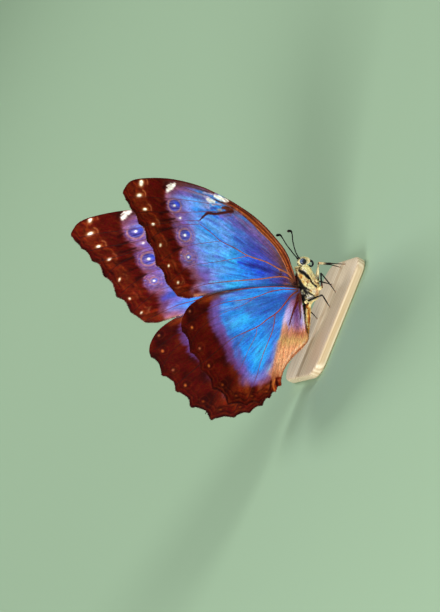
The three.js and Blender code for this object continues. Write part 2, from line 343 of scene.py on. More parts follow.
def closed_rings(rows, sides):
    """Faces of rings of points, closed by two end points that come after them."""
    index = np.arange(rows * sides).reshape(rows, sides)
    quads = grid_quads(rows, sides + 1, np.concatenate([index, index[:, :1]], axis=1))
    first, last = index[0], index[-1]
    caps = np.concatenate([
        np.stack([np.full(sides, rows * sides), np.roll(first, -1), first], -1),
        np.stack([np.full(sides, rows * sides + 1), last, np.roll(last, -1)], -1),
    ])
    return quads, caps


def directions_along(line):
    ahead = np.gradient(line, axis=0)
    return ahead / np.linalg.norm(ahead, axis=1, keepdims=True)


def frames_along(line):
    """Two directions at each point of a line, square to it and turning with it."""
    ahead = directions_along(line)
    first = np.cross(ahead[0], [0.3, 0.2, 0.93])
    normals = [first / np.linalg.norm(first)]
    for direction in ahead[1:]:
        turned = normals[-1] - direction * (normals[-1] @ direction)
        normals.append(turned / np.linalg.norm(turned))
    normals = np.array(normals)
    return normals, np.cross(ahead, normals)


def tube(line, radii, sides=10, flatten=None):
    """Points and faces of a closed round tube. flatten is (direction, share) to squeeze it."""
    normals, binormals = frames_along(line)
    turn = 2 * np.pi * np.arange(sides) / sides
    spokes = normals[:, None] * np.cos(turn)[:, None] + binormals[:, None] * np.sin(turn)[:, None]
    if flatten is not None:
        direction, share = flatten
        spokes = spokes - (1 - share) * (spokes @ direction)[..., None] * direction
    points = (line[:, None] + spokes * np.asarray(radii)[:, None, None]).reshape(-1, 3)
    points = np.concatenate([points, line[:1], line[-1:]])
    quads, caps = closed_rings(len(line), sides)
    return points, [quads[:, ::-1], caps[:, ::-1]]


def join(parts):
    """Joins (points, faces) pairs into one."""
    points, faces, count = [], [], 0
    for part_points, part_faces in parts:
        points.append(part_points)
        faces.extend(group + count for group in part_faces)
        count += len(part_points)
    return np.concatenate(points), faces


def unit(vectors):
    return vectors / np.maximum(np.linalg.norm(vectors, axis=-1, keepdims=True), 1e-9)


def heading(line, shares, step):
    """Direction of a line at shares of its length, taken over a step to either side."""
    return unit(spread(line, np.clip(shares + step, 0, 1)) - spread(line, np.clip(shares - step, 0, 1)))


TUFT_POINTS = 7
TUFT_FACES = np.array([
    [0, 1, 4], [0, 4, 3], [1, 2, 5], [1, 5, 4], [2, 0, 3], [2, 3, 5],
    [3, 4, 6], [4, 5, 6], [5, 3, 6], [0, 2, 1],
])
BAKE_PATCH = 0.003


def add_tufts(name, material, roots, leans, normals, lengths, widths, tints, bake_places, curl=0.15):
    """Solid three-sided locks of hair that leave the skin along leans and curl down to it.

    Each lock's patch on the bake map lies at its root's place there. Tints are one colour for
    each lock, or three: at its root, middle and tip.
    """
    count = len(roots)
    if tints.ndim == 2:
        tints = np.repeat(tints[:, None], 3, axis=1)
    lengths, widths = lengths[:, None], widths[:, None]
    aside = unit(np.cross(normals, leans))
    over = unit(np.cross(leans, aside))
    middle = roots + leans * lengths * 0.55 - normals * lengths * curl * 0.3
    tip = roots + leans * lengths - normals * lengths * curl
    root = roots - normals * widths * 0.4
    ring = [aside * 0.5, over * 0.35, -aside * 0.5]
    points = [root + way * widths for way in ring]
    points += [middle + way * widths * 0.8 for way in ring]
    points.append(tip)
    points = np.stack(points, 1).reshape(-1, 3)
    faces = (TUFT_FACES + TUFT_POINTS * np.arange(count)[:, None, None]).reshape(-1, 3)
    piece = add_mesh(name, points, [faces], material)
    shading = np.array([0.8, 0.86, 0.8, 0.98, 1.05, 0.98, 1.12])
    colours = (tints[:, [0, 0, 0, 1, 1, 1, 2]] * shading[None, :, None]).reshape(-1, 3)
    paint_piece(piece, np.clip(colours, 0, 255))
    patch = np.array([[0, 0], [0.5, 0], [1, 0], [0, 0.6], [0.5, 0.6], [1, 0.6], [0.5, 1]]) - 0.5
    places = (bake_places[:, None] + patch * BAKE_PATCH).reshape(-1, 2)
    give_bake_map(piece, places[faces.ravel()])
    return piece


# ---------------------------------------------------------------- materials


def new_material(name):
    material = bpy.data.materials.new(name)
    material.use_nodes = True
    tree = material.node_tree
    return material, tree, tree.nodes["Principled BSDF"]


def add_node(tree, kind, settings=None, **inputs):
    """Adds a node, sets its properties, then sets or links its inputs by name."""
    node = tree.nodes.new(kind)
    for key, value in (settings or {}).items():
        setattr(node, key, value)
    for key, value in inputs.items():
        socket = node.inputs[int(key[1:]) if key[1:].isdigit() else key.replace("_", " ")]
        if isinstance(value, bpy.types.NodeSocket):
            tree.links.new(value, socket)
        else:
            socket.default_value = value
    return node


def attribute(tree, name, output="Color"):
    return add_node(tree, "ShaderNodeAttribute", {"attribute_name": name}).outputs[output]


def scaled(tree, vector, scale):
    """A vector times a scale for each of its axes."""
    node = add_node(tree, "ShaderNodeVectorMath", {"operation": "MULTIPLY"}, _0=vector, _1=scale)
    return node.outputs[0]


def speckle(tree, vector, scale, detail=3.0):
    node = add_node(tree, "ShaderNodeTexNoise", Vector=vector, Scale=scale, Detail=detail)
    return node.outputs["Factor" if "Factor" in node.outputs else "Fac"]


def ramp_value(tree, value, low, high, out_low, out_high):
    """Maps a value from one range to another, held at both ends."""
    node = add_node(
        tree, "ShaderNodeMapRange", Value=value, From_Min=low, From_Max=high,
        To_Min=out_low, To_Max=out_high,
    )
    return node.outputs["Result"]


def brighten(tree, colour, value):
    """Colour with its brightness times a value."""
    node = add_node(tree, "ShaderNodeHueSaturation", Color=colour, Value=value)
    return node.outputs["Color"]


def bumps(tree, height, distance, strength=1.0, normal=None):
    node = add_node(tree, "ShaderNodeBump", Height=height, Distance=distance, Strength=strength)
    if normal is not None:
        tree.links.new(normal, node.inputs["Normal"])
    return node.outputs["Normal"]


def maths(tree, operation, first, second):
    node = add_node(tree, "ShaderNodeMath", {"operation": operation}, _0=first, _1=second)
    return node.outputs[0]


def wing_material():
    """Overlapping rows of scales, glossier and more metallic where they are blue."""
    material, tree, shader = new_material("wing_scales")
    place = attribute(tree, "wing_place", "Vector")
    blue = attribute(tree, "wing_blue", "Fac")
    scales = add_node(
        tree, "ShaderNodeTexVoronoi", {"feature": "F1"},
        Vector=scaled(tree, place, (2.6, 5.2, 2.6)), Scale=1.0, Randomness=0.55,
    )
    cell = add_node(tree, "ShaderNodeSeparateColor", Color=scales.outputs["Color"])
    streaks = speckle(tree, attribute(tree, "wing_ray", "Vector"), 1.0)
    light = maths(
        tree, "MULTIPLY",
        ramp_value(tree, cell.outputs["Red"], 0, 1, 0.82, 1.18),
        ramp_value(tree, streaks, 0.3, 0.7, 0.86, 1.14),
    )
    hue = ramp_value(tree, cell.outputs["Green"], 0, 1, 0.492, 0.508)
    tinted = add_node(
        tree, "ShaderNodeHueSaturation", Color=attribute(tree, "tint"), Value=light, Hue=hue,
    )
    tree.links.new(tinted.outputs["Color"], shader.inputs["Base Color"])
    rough = maths(tree, "ADD", ramp_value(tree, blue, 0, 1, 0.5, 0.36),
                  ramp_value(tree, cell.outputs["Blue"], 0, 1, -0.06, 0.1))
    tree.links.new(rough, shader.inputs["Roughness"])
    tree.links.new(ramp_value(tree, blue, 0, 1, 0.0, 0.15), shader.inputs["Metallic"])
    coarse = bumps(tree, streaks, 0.00012, 0.5)
    fine = bumps(tree, scales.outputs["Distance"], 0.00005, 0.45, coarse)
    tree.links.new(fine, shader.inputs["Normal"])
    tree.links.new(ramp_value(tree, blue, 0, 1, 0.015, 0.18), shader.inputs["Specular IOR Level"])
    return material


def tinted_material(name, roughness, grain, strength, specular=0.5, coat=0.0, sheen=0.0):
    """A finish that takes its colour from the mesh, with grain in colour, gloss and height."""
    material, tree, shader = new_material(name)
    where = add_node(tree, "ShaderNodeTexCoord").outputs["Object"]
    fine = speckle(tree, where, grain, 4.0)
    broad = speckle(tree, where, grain / 6, 2.0)
    light = maths(
        tree, "MULTIPLY",
        ramp_value(tree, fine, 0.3, 0.7, 1 - strength, 1 + strength),
        ramp_value(tree, broad, 0.3, 0.7, 1 - strength, 1 + strength),
    )
    colour = brighten(tree, attribute(tree, "tint"), light)
    tree.links.new(colour, shader.inputs["Base Color"])
    rough = ramp_value(tree, fine, 0.3, 0.7, roughness - 0.08, roughness + 0.1)
    tree.links.new(rough, shader.inputs["Roughness"])
    tree.links.new(bumps(tree, fine, 0.00004, 0.5), shader.inputs["Normal"])
    shader.inputs["Specular IOR Level"].default_value = specular
    shader.inputs["Coat Weight"].default_value = coat
    shader.inputs["Coat Roughness"].default_value = 0.12
    shader.inputs["Sheen Weight"].default_value = sheen
    return material


def eye_material():
    """A compound eye: hexagon-like facets under a hard gloss."""
    material, tree, shader = new_material("compound_eye")
    where = add_node(tree, "ShaderNodeTexCoord").outputs["Object"]
    facets = add_node(
        tree, "ShaderNodeTexVoronoi", {"feature": "F1"}, Vector=where, Scale=9000.0, Randomness=0.25,
    )
    light = ramp_value(tree, facets.outputs["Distance"], 0.0, 0.7, 1.15, 0.7)
    colour = brighten(tree, attribute(tree, "tint"), light)
    tree.links.new(colour, shader.inputs["Base Color"])
    tree.links.new(
        ramp_value(tree, facets.outputs["Distance"], 0, 0.6, 0.16, 0.34), shader.inputs["Roughness"]
    )
    height = ramp_value(tree, facets.outputs["Distance"], 0, 0.7, 1, 0)
    tree.links.new(bumps(tree, height, 0.00003, 0.35), shader.inputs["Normal"])
    shader.inputs["Specular IOR Level"].default_value = 0.4
    shader.inputs["Coat Weight"].default_value = 0.25
    shader.inputs["Coat Roughness"].default_value = 0.12
    return material


def wood_material():
    """Pale waxed maple with its grain along the plate."""
    material, tree, shader = new_material("stand_wood")
    where = add_node(tree, "ShaderNodeTexCoord").outputs["Object"]
    wander = speckle(tree, scaled(tree, where, (18, 60, 60)), 1.0, 2.0)
    along = scaled(tree, where, (60, 1500, 1500))
    fibres = speckle(tree, along, 1.0, 5.0)
    bands = add_node(
        tree, "ShaderNodeTexWave", {"wave_type": "RINGS", "rings_direction": "X"},
        Vector=scaled(tree, where, (4, 300, 420)), Scale=1.0, Distortion=5.0, Detail=3.0,
        Detail_Scale=1.4,
    )
    mix = maths(tree, "ADD", maths(tree, "MULTIPLY", bands.outputs["Fac"], 0.5),
                maths(tree, "MULTIPLY", fibres, 0.6))
    tone = add_node(tree, "ShaderNodeValToRGB", _0=mix)
    tone.color_ramp.elements[0].position = 0.2
    tone.color_ramp.elements[0].color = (*linear((186, 158, 120)), 1)
    tone.color_ramp.elements[1].position = 0.85
    tone.color_ramp.elements[1].color = (*linear((226, 208, 178)), 1)
    worn = brighten(tree, tone.outputs["Color"], ramp_value(tree, wander, 0.3, 0.7, 0.92, 1.06))
    tree.links.new(worn, shader.inputs["Base Color"])
    tree.links.new(ramp_value(tree, fibres, 0.3, 0.7, 0.36, 0.56), shader.inputs["Roughness"])
    tree.links.new(bumps(tree, fibres, 0.00005, 0.4), shader.inputs["Normal"])
    shader.inputs["Coat Weight"].default_value = 0.15
    shader.inputs["Coat Roughness"].default_value = 0.35
    return material


# ---------------------------------------------------------------- wing outlines and veins


# One scallop of a margin: shares of its chord, and how deep it is there.
TOOTH = ([0, 0.15, 0.3, 0.4, 0.65, 0.85, 1], [0, 0.42, 0.85, 1, 0.82, 0.6, 0])
NOTCH = ([0, 0.2, 0.45, 0.62, 0.8, 1], [0, 0.38, 0.85, 1, 0.68, 0])


def scalloped(corners, depths, profile):
    """A margin bowed between its corners: out above 0, and in to leave a tooth below 0."""
    corners = np.asarray(corners, float)
    share = np.arange(24) / 24
    bow = np.interp(share, *profile)[:, None]
    spans = []
    for start, end, depth in zip(corners, corners[1:], depths):
        chord = end - start
        outward = unit(np.array([chord[1], -chord[0]]))
        spans.append(start + chord * share[:, None] + outward * depth * bow)
    line = np.concatenate([*spans, corners[-1:]])
    for _ in range(2):
        line[1:-1] = (line[:-2] + 2 * line[1:-1] + line[2:]) / 4
    return line


FORE = {
    "kind": "forewing",
    "leading": through([(0.9, 2.6), (2.1, 6.4), (3.4, 10.2), (6.3, 14.1), (13.2, 20.6), (20.6, 25.1),
                        (28.4, 28.6), (36, 31.1), (46, 32.8), (55.8, 32.8), (61.5, 31.7), (64.4, 28.9)]),
    "inner": through([(0.7, -0.9), (8, -0.5), (20, -1.1), (31, -1.8), (37.5, -2.1), (42.6, -2.8)]),
    "margin": scalloped(
        [(42.6, -2.8), (46.5, -2.1), (50.3, 1.7), (53.8, 7), (56.7, 14.1), (59.4, 19.3), (61.9, 23.6),
         (63.5, 26.2), (64.6, 28.2)],
        [0.1, -0.1, -1.1, -1.2, -1.2, -0.7, -0.25, -0.15],
        NOTCH,
    ),
    "columns": 380,
    "rows": 150,
}
HIND = {
    "kind": "hindwing",
    "leading": through([(0.4, -0.3), (10, 0.6), (20.5, 0.1), (31, -0.9), (37.6, -2.5),
                        (43, -5.2), (46, -8.6), (46.9, -11.2)]),
    "inner": through([(0.2, -1.6), (0.3, -3.9), (0.1, -6.2), (-0.5, -12.6), (-1.2, -15.6),
                      (0.6, -17.7), (5.7, -21.3), (9.2, -24.9), (10.5, -27.6), (10.8, -29.7)]),
    "margin": scalloped(
        [(10.8, -29.7), (12.5, -30.9), (15.4, -33.3), (19.6, -34.8), (24.6, -35.4), (31.8, -35.1),
         (37.2, -30.2), (40.8, -24.6), (44.3, -19.1), (46.7, -12.8)],
        [-0.7, -0.8, -0.8, -0.8, -0.8, -1.8, -1.5, -1.6, -1.4],
        TOOTH,
    ),
    "columns": 380,
    "rows": 130,
}

# Each vein is its knots, its radius at both ends, and how far it lifts the membrane.
RADIAL = [
    (1.4, 1.8), (2.6, 2.9), (3.7, 4.9), (4.8, 7.3), (6.2, 9.9), (8.1, 12.6), (10.4, 14.8),
    (12.9, 16.9), (15.4, 19.1), (18.4, 21.4), (20.5, 22.9), (22.5, 24.1), (24.6, 25.1),
    (28.9, 26.5), (31.8, 27.8), (37, 29), (45.7, 31.6),
]
MEDIAN = [
    (1.2, 2), (3.7, 4.4), (7.4, 6), (11.8, 8), (18.4, 9.9), (23, 12.1), (28.3, 14.3),
    (31.3, 16.4), (36, 19.4),
]
FORE["veins"] = [
    ([(1.1, 2.4), (2.4, 6.2), (4, 10), (7, 13.7), (13.6, 19.9), (20.8, 24.3), (28, 27.6),
      (36, 30.2)], 0.2, 0.12, 0.1),
    (RADIAL, 0.26, 0.12, 0.12),
    ([(24, 24.4), (29.4, 25.3), (41.7, 26.6), (49.1, 26.9), (56, 27.2), (62.4, 27)], 0.14, 0.12, 0.1),
    ([(27.8, 23.4), (33.8, 23.1), (48, 22.7), (55, 22.8), (59.8, 22.4)], 0.15, 0.13, -0.08),
    ([(36.2, 20.4), (43.1, 20.2), (50, 19.4), (58.2, 18.6)], 0.14, 0.13, -0.06),
    ([(36, 19.4), (43.1, 19.1), (46.5, 18.5), (52, 16.6), (56, 14)], 0.15, 0.13, 0.08),
    (MEDIAN, 0.3, 0.16, 0.14),
    ([(28.3, 14.3), (33, 13.9), (38.1, 13.3), (43, 12.4), (49, 9.8), (53, 7.4)], 0.14, 0.12, 0.08),
    ([(18.4, 9.9), (24, 9), (29.5, 8.2), (37.5, 7.3), (42.1, 6.1), (46.6, 3.6), (49.6, 1.6)],
     0.15, 0.12, 0.08),
    ([(1.6, 1.8), (4.9, 3.3), (9, 3.4), (13.6, 2.9), (18.5, 2.6), (25.3, 2.2), (30.8, 1.8),
      (36, 1.2), (41.6, -0.2), (46, -1.6)], 0.3, 0.12, 0.1),
    ([(24, 23.3), (28.7, 22.9), (33.4, 22.4), (36.2, 20.4), (36, 19.4)], 0.13, 0.12, 0.0),
    ([(1, 0.6), (5.2, 1.2), (8, 0.7)], 0.24, 0.1, 0.04),
]
HIND["veins"] = [
    ([(0.8, -0.4), (4, 0.1), (10, 0.35), (20.5, -0.15), (31, -1.3), (38, -3.4), (44, -7)],
     0.17, 0.11, 0.05),
    ([(0.9, -0.7), (4, -0.5), (8, -0.6), (12, -1.2), (17, -2.6), (22, -3.5), (30, -4.4),
      (37, -6.8), (45.2, -11)], 0.22, 0.12, 0.08),
    ([(17, -2.6), (20.5, -4.2), (24, -5.6), (31.5, -7.8), (39.5, -12), (43.8, -16.6)],
     0.13, 0.12, -0.06),
    ([(1.2, -1), (4, -2.4), (8, -6), (10.6, -7.9), (14, -9.6), (18, -11.8), (27.3, -15),
      (35, -19.4), (40.8, -22.8)], 0.3, 0.13, 0.12),
    ([(18, -11.8), (18.8, -14.4), (22.2, -19), (25.6, -24.1), (30, -28.4), (33.2, -33)],
     0.16, 0.12, 0.07),
    ([(22.2, -13.3), (28.6, -19.6), (33.6, -25), (37.2, -29)], 0.12, 0.11, -0.05),
    ([(10.6, -7.9), (12, -12.4), (14, -16), (16.5, -20), (19.5, -26), (22.3, -31), (24.6, -34.2)],
     0.22, 0.13, 0.09),
    ([(1, -1.6), (4.4, -5.4), (7.4, -11.4), (9.6, -16.4), (12.4, -22.6), (14.6, -28.4),
      (15.3, -32.2)], 0.1, 0.1, -0.12),
    ([(0.6, -1.8), (1.2, -2.6), (2.4, -4.8), (4, -7.6), (5.8, -11.4), (7.4, -16), (9.6, -21.6),
      (11.2, -27)], 0.18, 0.11, 0.06),
    ([(0.5, -1.8), (1.1, -5.4), (1, -9), (0.3, -14)], 0.16, 0.1, 0.05),
]


def wing_relief(wing, places):
    """Height of the pleats: veins ride on low ridges or in shallow furrows."""
    height = np.zeros(len(places))
    for knots, _, _, lift in wing["veins"]:
        away, _ = nearest(places, through(knots, 5))
        height += lift * np.exp(-((away / 1.1) ** 2))
    ripple = noise(places[:, 0] / 3.4, places[:, 1] / 3.4, 5) * 0.05
    return height + ripple


def margin_gap(wing, places):
    """Distance from the outer margin."""
    return nearest(places, wing["margin"][::3])[0]


# ---------------------------------------------------------------- wing patterns


def ray_places(places):
    """Places as distance out and turn about the hinge, for streaks along the cells."""
    out = np.hypot(places[:, 0] + 4, places[:, 1])
    turn = np.arctan2(places[:, 1], places[:, 0] + 4)
    return out, turn


def ray_noise(places, fine, seed):
    """Streaky noise along the rays from the hinge. A larger fine makes narrower streaks."""
    out, turn = ray_places(places)
    broad = noise(out / 5, turn * fine, seed) * 0.6
    return broad + noise(out / 2.2, turn * fine * 2.3, seed + 1) * 0.4


def eyespot(paint, centre, disc, halo, pupil):
    """A dark blue oval with a white pupil, in a halo of thin streaky pink and violet rings."""
    across, forward = (paint.places - centre).T
    ripple = noise(across * 1.3, forward * 1.3, 17) * 0.2
    ripple = ripple + noise(across * 0.9, forward * 3.2, 29) * 0.22
    out = np.hypot(across * 0.84, forward) + ripple
    within = smooth(halo - out, 0, 1.2)
    rings = 0.5 + 0.5 * np.cos(2 * np.pi * (out - disc) / 0.64)
    uneven = 0.7 + 0.5 * noise(across * 0.9 + 7, forward * 1.4, 18)
    paint.lay(VIOLET, 0.6 * within)
    paint.lay(SALMON, 0.6 * within * rings**2 * uneven)
    paint.lay(PLUM, 0.5 * within * (1 - rings) ** 2 * uneven)
    paint.lay(PERIWINKLE, 0.55 * within * smooth(noise(across * 0.7, forward * 3.6, 30), 0.15, 0.7))
    if disc > 0.5:
        paint.spot(centre, (disc * 1.3, disc), NAVY, 0.92, 4)
        glint = (centre[0] - 0.7 * disc, centre[1] + 0.25 * disc)
        paint.spot(glint, (disc * 0.85, disc * 0.6), ROYAL, 0.8, 3)
        for lift, shade in [(0.62, PERIWINKLE), (-0.35, VIOLET), (-0.75, PERIWINKLE)]:
            start = (centre[0] - 1.1 * disc, centre[1] + (lift + 0.1) * disc)
            end = (centre[0] + 1.0 * disc, centre[1] + (lift - 0.1) * disc)
            paint.stroke([start, end], 0.1, shade, 0.7, 2, 0.5)
        rim = disc + 0.28
        paint.ring(centre, (rim * 1.2, rim), 0.12, SALMON, 0.6)
    paint.spot((centre[0] + 0.2, centre[1]), (pupil * 2.6, pupil * 1.1), PALE_LILAC, 0.7, 2)
    paint.spot(centre, (pupil, pupil * 0.8), WHITE, 1.0, 6)


# Where the blue ends, the eyespots (centre, disc, halo, pupil), the white spots (centre, radii,
# turn) and the white patch at the leading edge.
FORE_MARKS = {
    "right": {
        "edge": [(39, -0.5), (40.2, 2.5), (41.8, 5.5), (44.2, 7.9), (44.7, 12), (46.4, 15.9),
                 (47.6, 20.4), (49, 24.8), (48.6, 28.4), (44, 31.2)],
        "eyes": [((45.3, 24.8), 1.75, 3.1, 0.45), ((43.4, 21.1), 0, 1.1, 0.4),
                 ((42, 16), 1.6, 3.7, 0.5), ((41.3, 9.4), 0.8, 3.5, 0.42)],
        "spots": [((57.4, 31.3), (0.85, 1.1), 20), ((58.4, 27.6), (1.05, 0.6), -8),
                  ((56.7, 23.5), (0.85, 0.45), -6), ((54, 19.1), (0.65, 0.42), -10),
                  ((51.7, 12.9), (0.42, 0.56), 30), ((49.1, 6.8), (0.36, 0.45), 30),
                  ((46, 1.8), (0.4, 0.46), 40)],
        "patch": [(44.7, 31.1), (46, 30.4), (47.5, 29.4)],
    },
    "left": {
        "edge": [(39, -2), (41.6, 2), (41.8, 4), (42.6, 6.5), (44.4, 8), (44.8, 10), (45, 13),
                 (45.6, 15), (46.2, 18), (46.6, 20), (47.5, 22), (48.5, 24), (49.3, 27),
                 (48.6, 30), (46, 32)],
        "eyes": [((44.7, 25.9), 1.95, 3.7, 0.5), ((43, 22), 0, 1.0, 0.45),
                 ((42.2, 16.8), 1.7, 3.9, 0.55), ((41.7, 9.9), 0.8, 3.5, 0.42)],
        "spots": [((58, 31.9), (0.7, 1.05), 20), ((58.6, 27.6), (1.1, 0.6), -12),
                  ((56.8, 23.3), (0.8, 0.45), -8), ((54.2, 18.8), (0.7, 0.42), -14),
                  ((52.1, 12.1), (0.34, 0.66), 30), ((50, 5.8), (0.42, 0.36), 30),
                  ((47.2, 0.9), (0.5, 0.3), -40)],
        "patch": [(45.4, 32.2), (46.8, 31.6), (48, 30.6)],
    },
}


def paint_forewing_costa(paint):
    """The streaked cells behind the outer half of the leading edge."""
    paint.stroke([(29, 28.8), (36, 30.6), (43, 31.6), (48, 31.4)], 1.2, [MAUVE, PLUM, UMBER], 0.9)
    paint.stroke([(33, 30.2), (38, 31.2), (44, 32)], 0.5, [DUSKY_MAUVE, UMBER, UMBER], 0.8)
    paint.stroke([(30, 28.7), (38, 30.4), (45, 31.4)], 0.25, UMBER, 0.75, 3, 0.5)
    paint.stroke([(47.6, 28.9), (43.1, 28.7), (39.5, 28), (35.9, 27.3), (32.4, 26.8)], 0.75,
                 [DUSKY_MAUVE, VIOLET, VIOLET, VIOLET], 0.85, 2, 0.4)
    paint.stroke([(46.2, 30.1), (42.9, 29.8), (39.3, 29.2), (35.7, 28.4), (32, 27.4)], 0.45,
                 [DUSKY_MAUVE, MAUVE, PALE_LILAC], 0.8, 2, 0.4)
    paint.stroke([(48, 27.5), (43.2, 27.4), (39.6, 26.8), (35, 26.2), (32.4, 25.8)], 0.75,
                 [MAUVE, PERIWINKLE, SKY, SKY, LILAC], 0.9, 2, 0.3)
    paint.stroke([(40.8, 25.4), (36.1, 24.9), (32.4, 24.5)], 0.9, [PERIWINKLE, SKY, LILAC], 0.85, 2,
                 0.3)
    paint.stroke([(36.4, 23.4), (33, 23.3)], 0.5, STEEL, 0.85)
    paint.stroke([(31.2, 24.3), (29.4, 24.2)], 0.45, INDIGO, 0.75)
    paint.stroke([(27.4, 25.3), (29, 25.5), (30.8, 25.2)], 0.4, PALE_LILAC, 0.85, 2, 0.4)
    paint.spot((28.2, 23.7), (1.1, 0.45), SALMON, 0.8, 2)
    paint.spot((38.6, 22.1), (1.8, 0.9), PERIWINKLE, 0.65, 2)
    paint.spot((36, 21.8), (1.3, 0.6), PERIWINKLE, 0.7, 2)
    paint.spot((42.4, 22.6), (1.2, 0.6), MAUVE, 0.6, 2)


def paint_costal_band(paint, side):
    """Copper between the leading edge and the radial vein, then a dark shoulder and white marks."""
    places = paint.places
    edge_gap, along = nearest(places, FORE["leading"][::2])
    shares = np.linspace(0, 1, 60)
    widths, _ = nearest(spread(FORE["leading"], shares), through(RADIAL, 4))
    share = edge_gap / np.maximum(np.interp(along, shares, widths), 0.3)
    band = 1 - smooth(share, 0.94, 1.12)
    band *= smooth(24.6 - places[:, 0], -2, 1)
    paint.lay(CHESTNUT, band)
    paint.lay(MAROON, 0.65 * band * (1 - smooth(places[:, 0], 2, 7)))
    grain = 0.05 * ray_noise(places, 40, 27)
    # Lines along the band; the bright orange line at 0.68 is a painted highlight.
    for middle, width, colour, cover in [
        (0.0, 0.13, MAROON, 0.9), (0.24, 0.07, TAN, 0.6), (0.38, 0.05, MAROON, 0.75),
        (0.5, 0.06, ORANGE_BROWN, 0.7), (0.68, 0.07, ORANGE, 0.85), (0.8, 0.05, CHESTNUT, 0.8),
        (0.9, 0.06, TAN, 0.6),
    ]:
        paint.lay(colour, cover * band * np.exp(-(((share + grain - middle) / width) ** 2)))
    shoulder = smooth(places[:, 0], 15, 21) * (1 - smooth(places[:, 0], 24, 27))
    shoulder *= 1 - smooth(share, 0.4, 0.75)
    paint.lay(CHESTNUT, 0.9 * shoulder)
    paint.stroke([(20.6, 24.6), (24.4, 25.7), (27.6, 26.2), (30, 26.9)], [0.4, 0.6, 0.4, 0.2], CHESTNUT,
                 0.85)
    paint.stroke([(23.6, 24.9), (26.6, 25.5)], 0.22, TAN, 0.8, 2, 0.4)
    paint.stroke(FORE["leading"][62::4], 0.42, [CHESTNUT, MAROON, MAROON, MAROON], 0.95, 4)
    paint.stroke([(21.4, 23.7), (23.6, 23.9)], 0.5, TAN, 0.8)
    paint.stroke([(23.4, 23.9), (25.2, 24.3), (27.2, 24.3)], [0.6, 0.85, 0.4], CHESTNUT, 0.97, 4, 0.3)
    paint.stroke([(20, 22.4), (22, 22.9), (24, 23)], 0.55, [MAUVE, DUSKY_MAUVE, DUSKY_MAUVE], 0.75)
    paint.stroke([(24, 22.2), (26, 22), (28, 21.8)], 0.5, [DUSKY_MAUVE, PLUM, VIOLET], 0.7)
    bar = [(23.2, 23.4), (24.6, 23.2), (27, 22.9), (30, 22.5), (32.6, 22.7), (34.1, 22), (35.9, 20.6)]
    paint.stroke(bar, [0.5, 0.6, 0.5, 0.4, 0.5, 0.36, 0.2], MAROON, 0.97, 4, 0.3)
    paint.stroke([(24.9, 26.5), (26.9, 27.1), (29.5, 27.9)], [0.5, 0.85, 0.5], WHITE, 1.0, 4, 0.3)
    paint.stroke([(30.6, 28.4), (32, 28.6), (34, 28.9)], 0.22, PALE_LILAC, 0.8, 3, 0.5)
    paint.stroke([(29.9, 26.2), (31.2, 26.5), (32.6, 26.9)], [0.5, 0.75, 0.4], WHITE, 0.95, 3, 0.4)
    patch = FORE_MARKS[side]["patch"]
    paint.stroke(patch, [0.6, 0.95, 0.7], WHITE, 1.0, 4, 0.5)
    paint.stroke([(patch[1][0] + 0.4, patch[1][1] + 0.7), (patch[2][0] + 0.3, patch[2][1] + 1.2)],
                 [0.35, 0.2], WHITE, 0.9, 4, 0.6)
    paint.stroke([(patch[2][0] + 1.5, patch[2][1] + 0.6), (patch[2][0] + 0.4, patch[2][1] + 2.2)], 0.6,
                 BLACK_BROWN, 0.6)


def paint_forewing_cells(paint):
    """The blues, from dark at the hinge to pale cyan behind the eyespots."""
    paint.stroke([(3, 2.8), (10, 4.8), (17, 6.8), (24, 8.2), (30, 9.2)], [2.2, 2.8, 3.2, 3.4],
                 [PLUM, INDIGO, ROYAL, AZURE, SKY], 0.92)
    paint.stroke([(25, 8.6), (30, 10.6), (36, 14.6)], 2.5, [CYAN, SKY, SKY], 0.85)
    paint.stroke([(26, 12), (32, 14), (37, 16.6)], 1.5, SKY, 0.85)
    paint.stroke([(33, 9.8), (38, 10.8)], 1.8, [SKY, PERIWINKLE], 0.75)
    paint.stroke([(14, 4.6), (20, 5), (28, 5.2), (36, 5.4)], 1.4, [ROYAL, AZURE, SKY, PERIWINKLE], 0.88)
    paint.stroke([(34.6, 4.6), (38, 4.2)], 1.1, VIOLET, 0.75)
    paint.stroke([(37.4, 7), (40, 6.9), (43.2, 6.8)], 0.9, [PERIWINKLE, MAUVE, DUSKY_MAUVE], 0.8)
    paint.stroke([(38.4, 3.8), (40.6, 3.4)], 0.8, DUSKY_MAUVE, 0.75)
    paint.stroke([(5, 1.4), (12, 2), (18, 1.9), (24, 1.5), (31, 0.7)], 1.3,
                 [PLUM, DEEP_BLUE, STEEL, CYAN, SKY], 0.9)
    paint.stroke([(31, 0.6), (34, 0.6), (36.6, 0.4)], 1.1, [SKY, SKY, PERIWINKLE], 0.8)
    paint.stroke([(36.6, 0.6), (39.6, 0.4), (41.4, -1.4)], [1.2, 1.0, 0.8],
                 [PERIWINKLE, MAUVE, DUSKY_MAUVE], 0.8)
    paint.stroke([(4, -0.2), (9, -0.7), (14, -0.9), (20, -1.3), (27, -1.6), (31, -1.8), (36, -2.1),
                  (40, -2.2)], 0.75,
                 [DUSKY_MAUVE, DEEP_BLUE, STEEL, SKY, PERIWINKLE, MAUVE, SALMON, SALMON], 0.85)
    paint.stroke([(5.2, 1.9), (7.7, 2.1), (10.8, 2.4)], [0.5, 0.7, 0.4], [PLUM, INDIGO, INDIGO], 0.8)
    paint.stroke([(22.6, 8), (18.1, 7.1), (14.1, 6.2), (10.2, 5.1), (6.4, 4)],
                 [0.4, 0.7, 0.85, 0.75, 0.6], [ROYAL, NAVY, NAVY, NAVY, UMBER], 0.95, 2, 0.2)
    paint.stroke([(19.6, 9.2), (15.6, 8.1), (11.1, 6.6)], 0.5, [ROYAL, ROYAL, INDIGO], 0.85, 2, 0.2)
    paint.stroke([(23, 2.6), (28, 2.3), (34, 2)], 0.25, PALE_CYAN, 0.5, 2, 0.4)


